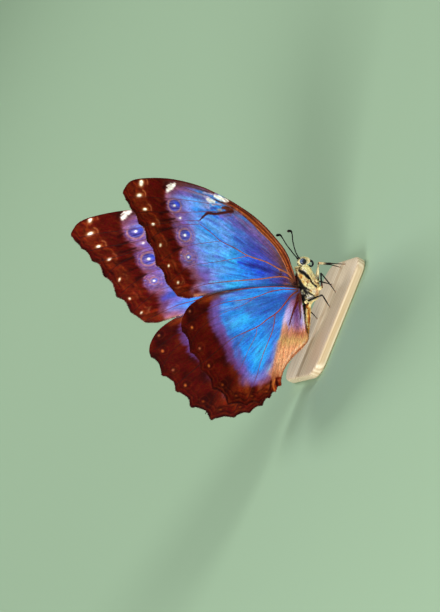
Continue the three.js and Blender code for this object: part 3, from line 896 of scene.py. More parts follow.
def paint_forewing_cell(paint):
    """The long cell in front of the median vein: cyan, royal, indigo, purple and mauve."""
    places = paint.places
    paint.stroke([(36.2, 20.2), (34.2, 20.3), (32.2, 19.2), (29.1, 17.2), (26, 15.4)], 1.5, SKY, 0.95)
    paint.stroke([(33, 21.5), (29, 20), (26, 18.2)], 1.1, [SKY, SKY, PERIWINKLE], 0.85)
    paint.stroke([(27, 14.8), (22, 13), (16, 10.6), (10, 8.2), (6, 6.4)], 1.2,
                 [SKY, STEEL, INDIGO, INDIGO, PLUM], 0.95)
    paint.stroke([(27.4, 18), (22, 16), (15.2, 12.8), (8.4, 9.4)], 1.4, [SKY, STEEL, INDIGO, PLUM],
                 0.92)
    paint.stroke([(28, 21.4), (24.4, 20.3), (19.5, 18), (14.1, 14.8), (8.6, 10.4), (4.6, 6.4)], 1.7,
                 [PERIWINKLE, VIOLET, VIOLET, PLUM, PLUM, UMBER], 0.92)
    paint.stroke([(22.5, 21.6), (19, 19.8), (14.4, 16.6), (9, 11.8), (5.2, 7)],
                 [1.0, 1.4, 1.4, 0.9, 0.7], [MAUVE, MAUVE, MAUVE, DUSKY_MAUVE, UMBER], 0.85, 2, 0.3)
    paint.stroke([(23.3, 15.6), (19.6, 13.8), (16, 12.1), (12.4, 10.4), (8.8, 8.6)], 0.4,
                 [INDIGO, INDIGO, NAVY, PLUM], 0.7, 2, 0.4)
    paint.stroke([(24.5, 17.2), (20, 15.6), (15, 13.8)], 0.35, PERIWINKLE, 0.5, 2, 0.4)
    paint.stroke([(30.6, 21.8), (27.2, 21)], 0.45, ROYAL, 0.5)
    region = smooth(places[:, 0], 5, 10) * (1 - smooth(places[:, 0], 20, 27))
    region *= smooth(places[:, 1] - 0.34 * places[:, 0], -0.5, 1.5)
    paint.lay(INDIGO, 0.24 * region)
    for lift in np.linspace(0, 1, 7):
        start = np.array([4 + 0.6 * lift, 5 + 2.6 * lift])
        end = np.array([14 - 3 * lift, 11.4 + 4.2 * lift])
        paint.stroke([start, end], 0.1, TAN, 0.5, 2, 0.6)


def paint_iridescent_light_and_shade(paint, region, strength):
    """Painted highlight and shade in the blue: streaks and patches where it flashes royal and cyan as if
    lit, and dims to deep violet blue.
    """
    across, forward = paint.places.T
    patch = noise(across / 3.4, forward / 2.2, 73) * 0.2 + 0.85 * ray_noise(paint.places, 64, 75)
    streak = ray_noise(paint.places, 95, 77)
    out = np.hypot(across, forward)
    paint.lay(INDIGO, strength * region * smooth(patch, 0.05, 0.7))
    paint.lay(CYAN, strength * 0.8 * region * smooth(-patch, 0.15, 0.75) * smooth(out, 10, 20))
    paint.lay(ROYAL, strength * 0.6 * region * smooth(streak, 0.2, 0.8))
    paint.lay(INDIGO, strength * 0.7 * region * smooth(-streak, 0.25, 0.8) * (1 - smooth(out, 22, 34)))


def paint_far_corner(paint):
    """What shows of the left forewing past the right one: deep blue, cyan and grey lilac."""
    paint.stroke([(33, 5.6), (37, 4.8), (39.6, 4)], 1.2, [STEEL, DEEP_BLUE, INDIGO], 0.85)
    paint.stroke([(31, 1.6), (36, 1.4), (38.4, 0.8)], 1.3, [AZURE, STEEL, PERIWINKLE], 0.85)
    paint.stroke([(33, -1), (37, -1), (40, -1.4)], 0.8, [PERIWINKLE, MAUVE, MAUVE], 0.85)
    paint.stroke([(39.4, 2.2), (41.2, 0.6), (41.8, -1.6)], 0.9, [PLUM, DUSKY_MAUVE, RUST], 0.8)


def paint_forewing_margin(paint, spots):
    """The maroon border with its broad orange-brown zone and row of white spots."""
    places = paint.places
    wave = 0.35 * np.sin(places[:, 1] * 1.15) + 0.45 * noise(places[:, 0] * 0.6, places[:, 1] * 0.6, 33)
    gap = margin_gap(FORE, places) + wave
    start = np.interp(places[:, 1], [-3, 5, 18, 33], [43, 45, 50, 54])
    far = smooth(places[:, 0] - start, -1.5, 1)
    streak = ray_noise(places, 70, 35)
    patchy = noise(places[:, 0] / 1.6, places[:, 1] / 1.6, 36)
    zone = np.exp(-(((gap - 3.8) / 2.7) ** 4)) * far
    paint.lay(CHESTNUT, (0.5 + 0.25 * patchy - 0.3 * streak) * zone)
    for middle, width, colour, cover in [
        (0.2, 0.4, BLACK_BROWN, 0.75), (1.1, 0.14, RUST, 0.35), (1.6, 0.18, BLACK_BROWN, 0.6),
        (2.5, 0.18, ORANGE_BROWN, 0.35), (3.1, 0.16, MAROON, 0.45), (4.5, 0.22, BLACK_BROWN, 0.5),
        (5.4, 0.24, ORANGE_BROWN, 0.4), (6.3, 0.45, MAROON, 0.55),
    ]:
        grain = noise(places[:, 0] / 1.2, places[:, 1] / 1.2, int(middle * 10) + 40)
        uneven = np.clip(0.6 + 0.9 * grain, 0.1, 1.4)
        paint.lay(colour, cover * uneven * np.exp(-(((gap - middle) / width) ** 2)) * far)
    paint.stroke([(41.8, -1.6), (44, -1.2), (46.6, -1.2)], 1.1, CHESTNUT, 0.7)
    paint.stroke([(42.6, 1), (44, 0.6), (46, 0.6)], 0.5, RUST, 0.6, 2, 0.6)
    paint.stroke([(43.6, 2.4), (46.4, 4)], 1.0, MAROON, 0.7)
    paint.stroke([(44.2, 2.2), (45.8, 0.2), (47.2, 0.2)], 0.26, TAN, 0.45, 2, 0.7)
    for number, (centre, radii, turn) in enumerate(spots):
        across, forward = centre
        curl = [0.7, 0.85, 0.75, 0.4, 0.25, 0.2, 0.3][number]
        hook = [(across - 1.5, forward + 1.5), (across - 2.3, forward + 0.9),
                (across - 2.4, forward - 0.2)]
        paint.stroke(hook, 0.3, TAN, curl, 2, 0.5)
        ground = (across - 0.6, forward + 0.1)
        paint.spot(ground, (2.1, 1.5), ORANGE_BROWN, 0.55 * curl, 3)
        paint.stroke([(across - 1, forward + 0.9), (across + 0.6, forward + 1)], 0.22, MAROON, 0.7)
        paint.stroke([(across - 1.2, forward - 0.8), (across + 0.5, forward - 0.9)], 0.25, MAROON, 0.7)
        paint.spot(centre, (radii[0] * 1.3, radii[1] * 1.3), OCHRE, 0.7, 3, turn)
        middle = WHITE if number < 4 else IVORY
        paint.spot(centre, (radii[0] * 0.85, radii[1] * 0.85), middle, 1.0, 5, turn)


def paint_forewing(places, side):
    """The forewing's pattern, and how blue it is at each place."""
    marks = FORE_MARKS[side]
    paint = Paint(places, MAROON)
    mottle = ray_noise(places, 60, 11)
    paint.lay(CHESTNUT, 0.5 * smooth(mottle, 0.1, 0.8))
    paint.lay(BLACK_BROWN, 0.6 * smooth(-mottle, 0.1, 0.8))
    edge = through(marks["edge"])
    inside = np.interp(places[:, 1], edge[:, 1], edge[:, 0]) - places[:, 0]
    inside = inside + 0.9 * ray_noise(places, 90, 3)
    paint.lay(DUSKY_MAUVE, smooth(inside, -0.8, 2.0))
    paint.lay(VIOLET, smooth(inside, 2.2, 5.2))
    paint.lay(PERIWINKLE, smooth(inside, 4.8, 8.2))
    paint.lay(AZURE, smooth(inside, 8, 13))
    paint_forewing_cells(paint)
    paint_forewing_cell(paint)
    # Painted highlight and shade: streaks and patches where the blue flashes bright or dims.
    paint_iridescent_light_and_shade(paint, smooth(inside, 4, 9), 0.5)
    if side == "left":
        paint_far_corner(paint)
    for forward, start, end in [(20.6, 45.4, 52), (17.9, 45.4, 52), (14.5, 46, 51), (12, 43.6, 47),
                                (23, 46.8, 51), (25.8, 48, 50)]:
        paint.stroke([(start, forward + 0.3), (end, forward - 0.6)], [0.2, 0.7], BLACK_BROWN, 0.85, 2,
                     0.3)
    paint.stroke([(40.6, 22), (44.8, 21.8)], 0.7, VIOLET, 0.6)
    paint.stroke([(40.8, 18.6), (46, 18.9)], 0.7, VIOLET, 0.6, 2, 0.4)
    for centre, disc, halo, pupil in marks["eyes"]:
        eyespot(paint, centre, disc, halo, pupil)
    paint_forewing_costa(paint)
    paint_forewing_margin(paint, marks["spots"])
    paint_costal_band(paint, side)
    paint.stroke([(0.6, 0), (2, 2.2), (3, 4.4)], [1.7, 1.6, 0.8], UMBER, 0.95, 3, 0.5)
    paint.stroke([(2.4, 1.6), (3.6, 2.2), (5, 2.4)], 0.5, [TAN, DUSKY_MAUVE, PLUM], 0.7)
    paint.stroke([(3, 0.9), (5.4, 1.2)], 0.3, TAN, 0.6, 2, 0.4)
    paint.stroke([(2.6, 4), (7, 5.4)], 0.3, TAN, 0.7, 2, 0.4)
    shine = 1 + 0.2 * ray_noise(places, 75, 21) + 0.08 * noise(places[:, 0] / 0.9, places[:, 1] / 0.6, 22)
    blue = smooth(inside, 0.5, 6)
    paint.colour *= shine[:, None]
    return paint.colour, blue


# Where the blue ends, the edge of the fold by the abdomen, and the spots near the margin.
HIND_EDGE = {
    "right": [(44, -0.6), (35.4, -2.8), (34.4, -4), (36, -5.6), (36.8, -7.4), (36, -10), (34.8, -13),
              (33, -16), (31, -18.4), (30.4, -21.4), (28.8, -23.4), (26.8, -25), (25.8, -27.8),
              (23.6, -29.2), (20.4, -28.8), (17.6, -28.2), (15, -27), (12, -27.6)],
    "left": [(44, -2), (36, -3.4), (36.8, -5), (37.6, -6.5), (37.2, -8.5), (36.4, -10.4), (35, -11.6),
             (35.4, -13.4), (34.4, -15.4), (31.6, -17), (28.6, -19.8), (27.4, -22), (25.6, -24),
             (25.3, -27.4), (23.3, -28.9), (20.2, -28.6), (17.4, -27.8), (15, -26.6), (12, -27.6)],
}
FOLD_EDGE = [(0.8, -1.4), (3.1, -3.2), (6.2, -6.3), (8.1, -9.7), (9, -13.1), (10.4, -16.8), (12.1, -20.8),
             (13.8, -24.5), (14.4, -27.2), (14.2, -30)]
HIND_SPOTS = [((43.1, -6.8), (0.5, 0.45), TAN), ((42.8, -11.7), (0.5, 0.5), ORANGE),
              ((40.6, -18), (0.5, 0.45), TAN), ((37.7, -23.2), (0.45, 0.5), ORANGE),
              ((33.2, -29), (0.5, 0.4), ORANGE_BROWN), ((28.4, -32.4), (0.6, 0.22), ORANGE_BROWN),
              ((22.4, -32.6), (0.6, 0.25), ORANGE_BROWN), ((16.7, -31.4), (0.7, 0.3), ORANGE_BROWN)]


def fold_depth(places):
    """How far inside the edge of the hindwing's fold each place lies."""
    edge = through(FOLD_EDGE)
    return np.interp(-places[:, 1], -edge[:, 1], edge[:, 0]) - places[:, 0]


def paint_hindwing_blue(paint):
    """Light and dark sweeps within the blue of the hindwing."""
    paint.stroke([(28.2, -10.6), (22.8, -9.4), (18, -8.4)], 1.8, [SKY, CYAN, AZURE], 0.75)
    paint.stroke([(12.6, -12), (15.8, -15.9), (18.8, -19.4), (22, -21.8)], [1.4, 2.4, 2.9, 2.2],
                 [STEEL, AZURE, CYAN, AZURE], 0.85, 2, 0.3)
    paint.stroke([(10.6, -12.5), (13, -18), (15.6, -24)], 1.2, [STEEL, AZURE, PERIWINKLE], 0.8)
    paint.stroke([(20, -13.2), (26, -16.4), (27, -20)], 1.3, [AZURE, STEEL, STEEL], 0.7)
    paint.stroke([(30, -6.4), (29, -10.4), (28.4, -13.4)], 1.3, STEEL, 0.7)
    paint.stroke([(25, -4.2), (20, -4), (14, -3.6), (9, -3), (5.6, -2.6)], 1.2,
                 [SKY, STEEL, DEEP_BLUE, DEEP_BLUE, INDIGO], 0.85)
    paint.stroke([(21.6, -6.4), (17.2, -5.6), (12.7, -4.6), (8, -3.9)], 1.2,
                 [STEEL, STEEL, DEEP_BLUE, DEEP_BLUE], 0.8)
    paint.stroke([(20.6, -7.6), (15, -7.2), (10, -6)], 1.3, [STEEL, DEEP_BLUE, DEEP_BLUE], 0.8)
    paint.stroke([(7, -5.6), (11.4, -9.6), (14, -12.4)], 1.6, [DEEP_BLUE, STEEL, STEEL], 0.8)
    paint.stroke([(30, -2.6), (25, -2), (20, -1.4), (11, -0.7)], 0.7, [PERIWINKLE, SKY, AZURE, STEEL],
                 0.8)
    paint.stroke([(32.4, -6), (28, -5.9), (24.4, -6)], 0.7, [PERIWINKLE, SKY, SKY], 0.7)
    paint.stroke([(32.4, -4.4), (32.8, -8), (32.8, -12), (31.8, -15.6), (29.8, -18.6), (29, -22)], 1.3,
                 [VIOLET, VIOLET, VIOLET, PLUM, PLUM, PLUM], 0.7, 2, 0.4)
    paint.stroke([(25, -24.8), (21.8, -27), (18, -26.8), (15, -25)], 1.3,
                 [VIOLET, PERIWINKLE, PERIWINKLE, LILAC], 0.75, 2, 0.4)
    paint.stroke([(11.6, -17), (13.4, -21.6), (14.6, -26)], 0.9, [PERIWINKLE, PERIWINKLE, SALMON], 0.8,
                 2, 0.3)
    paint.stroke([(1, -1.2), (4, -3), (7, -5.2)], [1.6, 1.6, 1.2], [UMBER, PLUM, DEEP_BLUE], 0.85)
    paint.stroke([(39, -3.4), (36, -2.7), (33, -1.9), (28, -1), (22, -0.1), (14, 0.5), (7, 0.4)],
                 [1.0, 0.9, 0.6, 0.35, 0.25, 0.2], [CHESTNUT, CHESTNUT, UMBER, PLUM, PLUM, NAVY], 0.92,
                 3)


def paint_fold(paint):
    """The pale fold that lies along the abdomen, lilac near the hinge and peach behind."""
    across, forward = paint.places.T
    depth = fold_depth(paint.places) + 0.3 * noise(across * 0.6, forward / 3, 31)
    stops = [-30, -27, -23, -18, -15.4, -13.6, -12.4, -10.5, -8, -5, -2]
    shades = np.array([RUST, TAN, PEACH, PEACH, OCHRE,
                       SALMON, SALMON, LILAC, LILAC, MAUVE,
                       UMBER])
    streak = 0.9 * noise(across * 2.2, forward / 6, 41)
    tone = np.stack([np.interp(forward + streak, stops, shade) for shade in shades.T], -1)
    cover = smooth(depth, -0.6, 0.7)
    paint.lay(tone, cover)
    paint.stroke([(1.6, -3.6), (2.6, -7.6), (2.8, -11.6)], [0.5, 1.2, 1.5], [PLUM, PLUM, MAUVE], 0.92,
                 2, 0.2)
    paint.stroke([(4, -4), (6, -6.8), (7.4, -10), (8.4, -13)], 0.65, [MAUVE, LILAC, PALE_LILAC, SALMON],
                 0.9, 2, 0.4)
    paint.stroke([(0.6, -5.6), (0.2, -8.6), (0.1, -12)], 0.4, [PALE_LILAC, GREY, PALE_LILAC], 0.85, 2,
                 0.3)
    paint.stroke([(1.2, -2.4), (2.4, -4.8), (4, -7.6), (5.8, -11.4)], [0.6, 0.42, 0.3, 0.14], MAROON,
                 0.95, 3)
    paint.stroke([(0.7, -2.2), (1.1, -5.4), (1.2, -9.4)], [0.6, 0.36, 0.2], UMBER, 0.92, 3)
    paint.stroke([(-0.1, -7), (-0.5, -10), (-0.7, -13.4)], [0.25, 0.45, 0.4],
                 [DUSKY_MAUVE, UMBER, RUST], 0.85, 3)
    paint.stroke([(10.2, -16.4), (11.8, -20.6), (13, -24.4), (13.4, -27)], 0.75,
                 [SALMON, SALMON, SALMON, TAN], 0.85, 2, 0.3)
    paint.spot((2.2, -13.9), (2.8, 0.9), TAN, 0.8, 2)
    for start, end in [((7.6, -14), (9.4, -22)), ((5.6, -15), (8, -22.6)), ((4, -15.4), (6.4, -20.4)),
                       ((9, -16), (11.8, -26)), ((2.4, -15), (4.6, -18.6)), ((6.8, -13.6), (10.6, -26)),
                       ((8.2, -13), (10.2, -19)), ((6.2, -18), (9.6, -24.6)), ((3, -16), (5.2, -20))]:
        paint.stroke([start, end], 0.13, TAN, 0.45, 3, 0.5)
    paint.stroke([(-1.2, -14.6), (-1.1, -16.1), (0.9, -17.9), (5.7, -21.2), (9, -24.8), (10.4, -27.6)],
                 [0.3, 0.44, 0.42, 0.4], [ORANGE_BROWN, TAN, TAN], 0.95, 3)
    paint.stroke([(0.2, -16), (1.6, -17.3), (6.3, -20.4), (9.7, -24.2), (11, -27)], 0.2,
                 [IVORY, IVORY, PEACH], 0.6, 2, 0.4)
    paint.stroke([(10.8, -27.4), (12.4, -27.7), (12.3, -29.2)], [0.4, 0.5, 0.7],
                 [RUST, MAROON, BLACK_BROWN], 0.95, 4)
    paint.stroke([(11.2, -28.8), (11.9, -30.2)], 0.45, [RUST, MAROON], 0.9, 3)
    paint.stroke([(13, -27.9), (13.9, -29.4), (13.4, -31.2)], 0.3, ORANGE, 0.85, 3, 0.4)
    paint.stroke([(14.6, -28.4), (15.3, -30.8)], 0.35, BLACK_BROWN, 0.8, 3)


def paint_hindwing(places, side):
    """The hindwing's pattern, and how blue it is at each place."""
    paint = Paint(places, MAROON)
    mottle = ray_noise(places, 36, 51)
    blotch = noise(places[:, 0] / 3.1, places[:, 1] / 3.1, 53) * 0.7 + 0.3 * mottle
    paint.lay(CHESTNUT, 0.55 * smooth(blotch, 0.0, 0.6))
    paint.lay(BLACK_BROWN, 0.7 * smooth(-blotch, 0.0, 0.6))
    edge = through(HIND_EDGE[side])
    edge_turn = np.arctan2(-edge[:, 1], edge[:, 0])
    edge_reach = np.hypot(edge[:, 0], edge[:, 1])
    turn = np.arctan2(-places[:, 1], places[:, 0])
    inside = np.interp(turn, edge_turn, edge_reach) - np.hypot(places[:, 0], places[:, 1])
    inside = inside + 0.8 * ray_noise(places, 70, 61)
    inside = inside + 0.6 * noise(places[:, 0] / 2.4, places[:, 1] / 2.4, 63)
    inside = inside + 1.1 * noise(places[:, 0] / 3.6, places[:, 1] / 3.2, 65)
    paint.stroke([(29, -24), (27, -28), (29, -31)], 1.8, CHESTNUT, 0.6)
    paint.lay(PLUM, smooth(inside, -1.2, 0.9))
    paint.lay(VIOLET, smooth(inside, 0.9, 3))
    paint.lay(AZURE, smooth(inside, 3.2, 6.6))
    paint_hindwing_blue(paint)
    # Painted highlight and shade: streaks and patches where the blue flashes bright or dims.
    paint_iridescent_light_and_shade(paint, smooth(inside, 1.5, 6), 0.58)
    paint.stroke([(22.6, -13.6), (25.4, -15), (27.4, -17.4)], 0.9, [STEEL, DEEP_BLUE], 0.7, 2, 0.5)
    paint.stroke([(15, -17), (17, -20.4), (20, -22.2)], 1.2, CYAN, 0.6, 2, 0.5)
    paint.stroke([(21.4, -8.6), (25, -9.8), (27.6, -11.4)], 0.9, CYAN, 0.6, 2, 0.5)
    paint.stroke([(32, -2.6), (35, -3.2), (39, -4.4)], 0.8, [DUSKY_MAUVE, ORANGE_BROWN, CHESTNUT], 0.7)
    paint.stroke([(15.4, -27.6), (17, -28.4), (19, -28.8)], 0.8, MAUVE, 0.75, 2, 0.4)
    paint.stroke([(12.8, -29.2), (15.6, -30.2), (19, -30.6)], 1.2, [ORANGE_BROWN, CHESTNUT, CHESTNUT],
                 0.8)
    paint.stroke([(13.6, -28.6), (15.2, -29.7), (16.8, -30)], 0.6, [ORANGE, TAN, ORANGE_BROWN], 0.75, 2,
                 0.5)
    paint.stroke([(24.2, -28.2), (24, -30.4), (23.6, -32.6)], [1.1, 1.6, 1.2],
                 [MAUVE, ORANGE_BROWN, RUST], 0.75, 2, 0.5)
    paint.stroke([(26.4, -27.4), (26.6, -30.4)], [0.7, 1.0], [DUSKY_MAUVE, RUST], 0.75, 2, 0.4)
    paint.stroke([(18.6, -29), (19.4, -31)], 0.7, [MAUVE, ORANGE_BROWN], 0.6)
    gap = margin_gap(HIND, places)
    border = smooth(-inside, 0.5, 3)
    gap = gap + 0.35 * noise(places[:, 0] * 0.7, places[:, 1] * 0.7, 57)
    low_part = smooth(-places[:, 1], 22, 30)
    for middle, width, colour, cover in [
        (0.1, 0.5, BLACK_BROWN, 0.35 + 0.4 * low_part), (0.85, 0.2, CHESTNUT, 0.2 + 0.3 * low_part),
        (1.3, 0.2, BLACK_BROWN, 0.25 + 0.35 * low_part), (2.3, 0.2, CHESTNUT, 0.1 + 0.3 * low_part),
        (2.8, 0.22, BLACK_BROWN, 0.1 + 0.35 * low_part),
    ]:
        line = np.exp(-(((gap - middle) / width) ** 2))
        paint.lay(colour, cover * (1 + 0.7 * mottle) * line * border)
    for centre, radii, colour in HIND_SPOTS:
        paint.spot(centre, (1.15, 1.05), BLACK_BROWN, 0.5, 3)
        paint.ring((centre[0] - 0.5, centre[1] + 0.3), (1.5, 1.4), 0.13, ORANGE_BROWN, 0.18)
        paint.spot(centre, radii, colour, 0.85, 2.5)
    paint_fold(paint)
    shine = 1 + 0.14 * ray_noise(places, 60, 71)
    blue = smooth(inside, 0.5, 4) * (1 - smooth(fold_depth(places), -0.6, 0.6))
    paint.colour *= shine[:, None]
    return paint.colour, blue


# ---------------------------------------------------------------- wing meshes


def wing_grid(wing):
    """Flat places of a wing's mesh, on rungs from the leading to the trailing edge."""
    along = np.linspace(0, 1, wing["columns"] + 1)
    leading = spread(wing["leading"], along)
    trailing = spread(np.concatenate([wing["inner"][:-1], wing["margin"]]), along)
    rung = trailing - leading
    width = np.linalg.norm(rung, axis=1, keepdims=True)
    rung = rung * np.clip(1 + FRINGE * 0.3 / width, 1, 1.1)
    share = np.linspace(0, 1, wing["rows"] + 1)
    return leading[:, None] + rung[:, None] * share[None, :, None]


def edge_taper(columns, rows):
    """Thickness share of a wing, which closes to nothing at its edges."""
    column = np.minimum(np.arange(columns), np.arange(columns)[::-1])
    row = np.minimum(np.arange(rows), np.arange(rows)[::-1])
    return np.minimum(column[:, None] / 3, row[None] / 3).clip(0, 1) ** 0.5


OTHER_FACE = 90.0             # sets the scale pattern of a wing's second face apart


def build_membrane(wing, side, material):
    """Both faces of a wing as one closed thin mesh that carries the pattern."""
    grid = wing["grid"]
    columns, rows = grid.shape[:2]
    places = grid.reshape(-1, 2)
    taper = edge_taper(columns, rows).ravel()
    half = MEMBRANE * taper * (1.25 - 0.5 * places[:, 0] / FOREWING_LENGTH)
    relief = wing["relief"]
    upper = on_wing(side, wing["kind"], places, relief + half)
    lower = on_wing(side, wing["kind"], places, relief - half)
    index = np.arange(columns * rows).reshape(columns, rows)
    inside = taper.reshape(columns, rows) > 0
    below = index.copy()
    below[inside] = columns * rows + np.arange(inside.sum())
    points = np.concatenate([upper, lower[inside.ravel()]])
    near, far = grid_quads(columns, rows, index), grid_quads(columns, rows, below)
    flip = side == "right"
    near, far = (near[:, ::-1], far) if flip else (near, far[:, ::-1])
    piece = add_mesh(f"{wing['kind']}_{side}_membrane", points, [near, far], material)
    doubled = np.concatenate([np.arange(columns * rows), index[inside]])
    paint_piece(piece, wing["colour"][doubled])
    give_values(piece, "wing_blue", wing["blue"][doubled])
    sheet = np.where(np.arange(len(points)) < columns * rows, 0.0, OTHER_FACE)
    flat = places[doubled]
    give_vectors(piece, "wing_place", np.column_stack([flat, sheet]))
    out, turn = ray_places(flat)
    give_vectors(piece, "wing_ray", np.column_stack([out / 4, turn * 26, sheet]))
    low, size = places.min(0), np.ptp(places, axis=0).max()
    shrunk = (flat - low) / size * np.array([0.48, 0.98]) + 0.01
    corners = np.concatenate([near.ravel(), far.ravel()])
    shift = np.repeat([0.0, 0.5], [near.size, far.size])
    give_bake_map(piece, shrunk[corners] + np.column_stack([shift, np.zeros(len(shift))]))
    keep(piece, "wing", f"{wing['kind']}_{side}")


def vein_tint(wing, places):
    """Rust in the blue, copper at the hinge and nearly black in the dark border."""
    out = places[:, 0] + 0.5 * np.abs(places[:, 1])
    paint = Paint(places, DUSKY_MAUVE)
    near_hinge = TAN if wing["kind"] == "forewing" else ORANGE_BROWN
    paint.lay(near_hinge, 1 - smooth(out, 22, 36))
    paint.lay(UMBER, 1 - smooth(out, 1, 6))
    ground = wing["colour_at"](places)
    dark = 1 - smooth(ground.sum(1), 130, 330)
    paint.lay(BLACK_BROWN, dark * smooth(out, 22, 30))
    paint.lay(IVORY, 0.85 * smooth(ground.sum(1), 600, 690))
    paint.colour *= 1 + 0.15 * noise(places[:, 0] * 1.7, places[:, 1] * 1.7, 19)[:, None]
    return paint.colour


def build_veins(wing, side, material):
    """The hollow veins: tapering tubes half sunk in the membrane, so both faces show them."""
    parts, tints = [], []
    probe = np.array([[20.0, -2], [20, -2]])
    up = unit(np.diff(on_wing(side, wing["kind"], probe, np.array([0.0, 1.0])), axis=0)[0])
    for knots, start, end, _ in wing["veins"]:
        flat = through(knots, 14)
        relief = wing["relief_at"](flat)
        line = on_wing(side, wing["kind"], flat, relief)
        share = lengths_along(flat)
        share = share / share[-1]
        radii = start + (end - start) * share**0.7
        radii = radii * (1 + 0.06 * np.sin(share * 90))
        radii[0] *= 0.4
        radii[-1] *= 0.3
        points, faces = tube(line, radii, 8, (up, 0.8))
        parts.append((points, faces))
        shade = vein_tint(wing, flat)
        tints.append(np.concatenate([np.repeat(shade, 8, axis=0), shade[:1], shade[-1:]]))
    points, faces = join(parts)
    piece = add_mesh(f"{wing['kind']}_{side}_veins", points, faces, material)
    paint_piece(piece, np.concatenate(tints))
    keep(piece, "wing")


def build_fringe(wing, side, material, random):
    """Short hair scales that fan out from the membrane's edge to the wing's true outline."""
    inner_length = lengths_along(wing["inner"])[-1]
    outline = np.concatenate([wing["inner"][:-1], wing["margin"]])
    total = lengths_along(outline)[-1]
    count = int(total / 0.09)
    share = np.sort(random.uniform(0.06, 0.997, count))
    edge = spread(outline, share)
    ahead = heading(outline, share, 0.002)
    outward = np.column_stack([ahead[:, 1], -ahead[:, 0]])
    roots = edge - outward * FRINGE * 0.4
    swing = random.normal(0, 0.28, count)[:, None]
    aim = unit(outward + ahead * swing)
    soft = (share * total < inner_length) & (share * total > 3)
    length = FRINGE * random.uniform(1.0, 1.35, count) * np.where(soft, 1.15, 1.0)
    height = wing["relief_at"](roots) + random.uniform(-0.06, 0.06, count)
    root3 = on_wing(side, wing["kind"], roots, height)
    tip3 = on_wing(side, wing["kind"], roots + aim * length[:, None], height)
    leans = unit(tip3 - root3)
    face = np.where(random.uniform(size=count) < 0.5, 1.0, -1.0)
    normals = unit(on_wing(side, wing["kind"], roots, height + face) - root3)
    tints = wing["colour_at"](edge - outward * 0.5) * random.uniform(0.75, 1.25, count)[:, None]
    patchy = smooth(noise(edge[:, 1] / 1.4, edge[:, 0] / 1.4, 47), -0.1, 0.5)
    pale = (~soft) & (random.uniform(size=count) < 0.45 * patchy)
    if wing["kind"] == "forewing":
        tints[pale] = np.array([176.0, 130, 116]) * random.uniform(0.8, 1.15, count)[pale, None]
    low, size = outline.min(0), np.ptp(outline, axis=0).max()
    bake = (edge - low) / size * 0.96 + 0.02
    widths = random.uniform(0.1, 0.17, count)
    piece = add_tufts(f"{wing['kind']}_{side}_fringe", material, root3, leans, normals,
                      length, widths, tints, bake, 0.02)
    keep(piece, "wing")


def build_wing_hair(wing, side, material, random):
    """Long hair scales on the fold and round the hinge, lying back over both faces."""
    if wing["kind"] == "hindwing":
        count, reach = 5200, 26
        out = random.uniform(0, 1, count) ** 0.75 * reach + 1.2
        angle = np.radians(random.uniform(-97, -60, count))
    else:
        count, reach = 1500, 7
        out = random.uniform(0, 1, count) ** 1.1 * reach + 1.4
        angle = np.radians(random.uniform(-8, 66, count))
    roots = np.column_stack([out * np.cos(angle), out * np.sin(angle)])
    outline = np.concatenate([wing["leading"], wing["margin"][::-1], wing["inner"][::-1]])
    inside = in_outline(roots, outline)
    inside &= nearest(roots, np.concatenate([wing["inner"], wing["margin"]]))[0] > 0.35
    if wing["kind"] == "hindwing":
        inside &= fold_depth(roots) > -0.9
    roots = roots[inside]
    count = len(roots)
    aim = unit(roots + random.normal(0, 0.16, (count, 2)) * np.linalg.norm(roots, axis=1)[:, None])
    length = random.uniform(0.7, 1.7, count) * (1.1 if wing["kind"] == "hindwing" else 0.8)
    tips = roots + aim * length[:, None]
    length = np.where(in_outline(tips, outline), length, length * 0.4)
    face = np.where(random.uniform(size=count) < 0.5, 1.0, -1.0)
    height = wing["relief_at"](roots) + face * MEMBRANE * 1.2
    root3 = on_wing(side, wing["kind"], roots, height)
    tip3 = on_wing(side, wing["kind"], roots + aim * length[:, None], height + face * 0.12)
    normals = unit(on_wing(side, wing["kind"], roots, height + face) - root3)
    tints = wing["colour_at"](roots) * random.uniform(0.72, 1.3, count)[:, None]
    tints = tints + random.normal(0, 6, (count, 1))
    low, size = outline.min(0), np.ptp(outline, axis=0).max()
    bake = (roots - low) / size * 0.48 + 0.01 + np.where(face > 0, 0, 0.5)[:, None] * [1, 0]
    widths = random.uniform(0.06, 0.12, count)
    piece = add_tufts(f"{wing['kind']}_{side}_hair", material, root3, unit(tip3 - root3), normals,
                      length, widths, tints, bake, 0.05)
    keep(piece, "wing")


def in_outline(places, outline):
    """Which places lie inside a closed outline."""
    inside = np.zeros(len(places), bool)
    x, y = places.T
    for (x0, y0), (x1, y1) in zip(outline, np.roll(outline, -1, axis=0)):
        crosses = (y0 > y) != (y1 > y)
        if y1 != y0:
            inside ^= crosses & (x < (x1 - x0) * (y - y0) / (y1 - y0) + x0)
    return inside


PAINTERS = {"forewing": paint_forewing, "hindwing": paint_hindwing}


def build_wings(random):
    scales = wing_material()
    vein_finish = tinted_material("wing_veins", 0.55, 2500, 0.14, specular=0.08)
    hair_finish = tinted_material("wing_hair", 0.6, 1800, 0.1, specular=0.1)
    for wing in (FORE, HIND):
        wing["grid"] = wing_grid(wing)
        places = wing["grid"].reshape(-1, 2)
        wing["relief"] = wing_relief(wing, places)
        wing["relief_at"] = lambda at, wing=wing: wing_relief(wing, np.asarray(at, float))
        for side in ("right", "left"):
            painter = PAINTERS[wing["kind"]]
            wing["colour"], wing["blue"] = painter(places, side)
            wing["colour_at"] = lambda at, paint=painter, side=side: paint(np.asarray(at, float), side)[0]
            build_membrane(wing, side, scales)
            build_veins(wing, side, vein_finish)
            build_fringe(wing, side, hair_finish, random)
            build_wing_hair(wing, side, hair_finish, random)


# ---------------------------------------------------------------- body

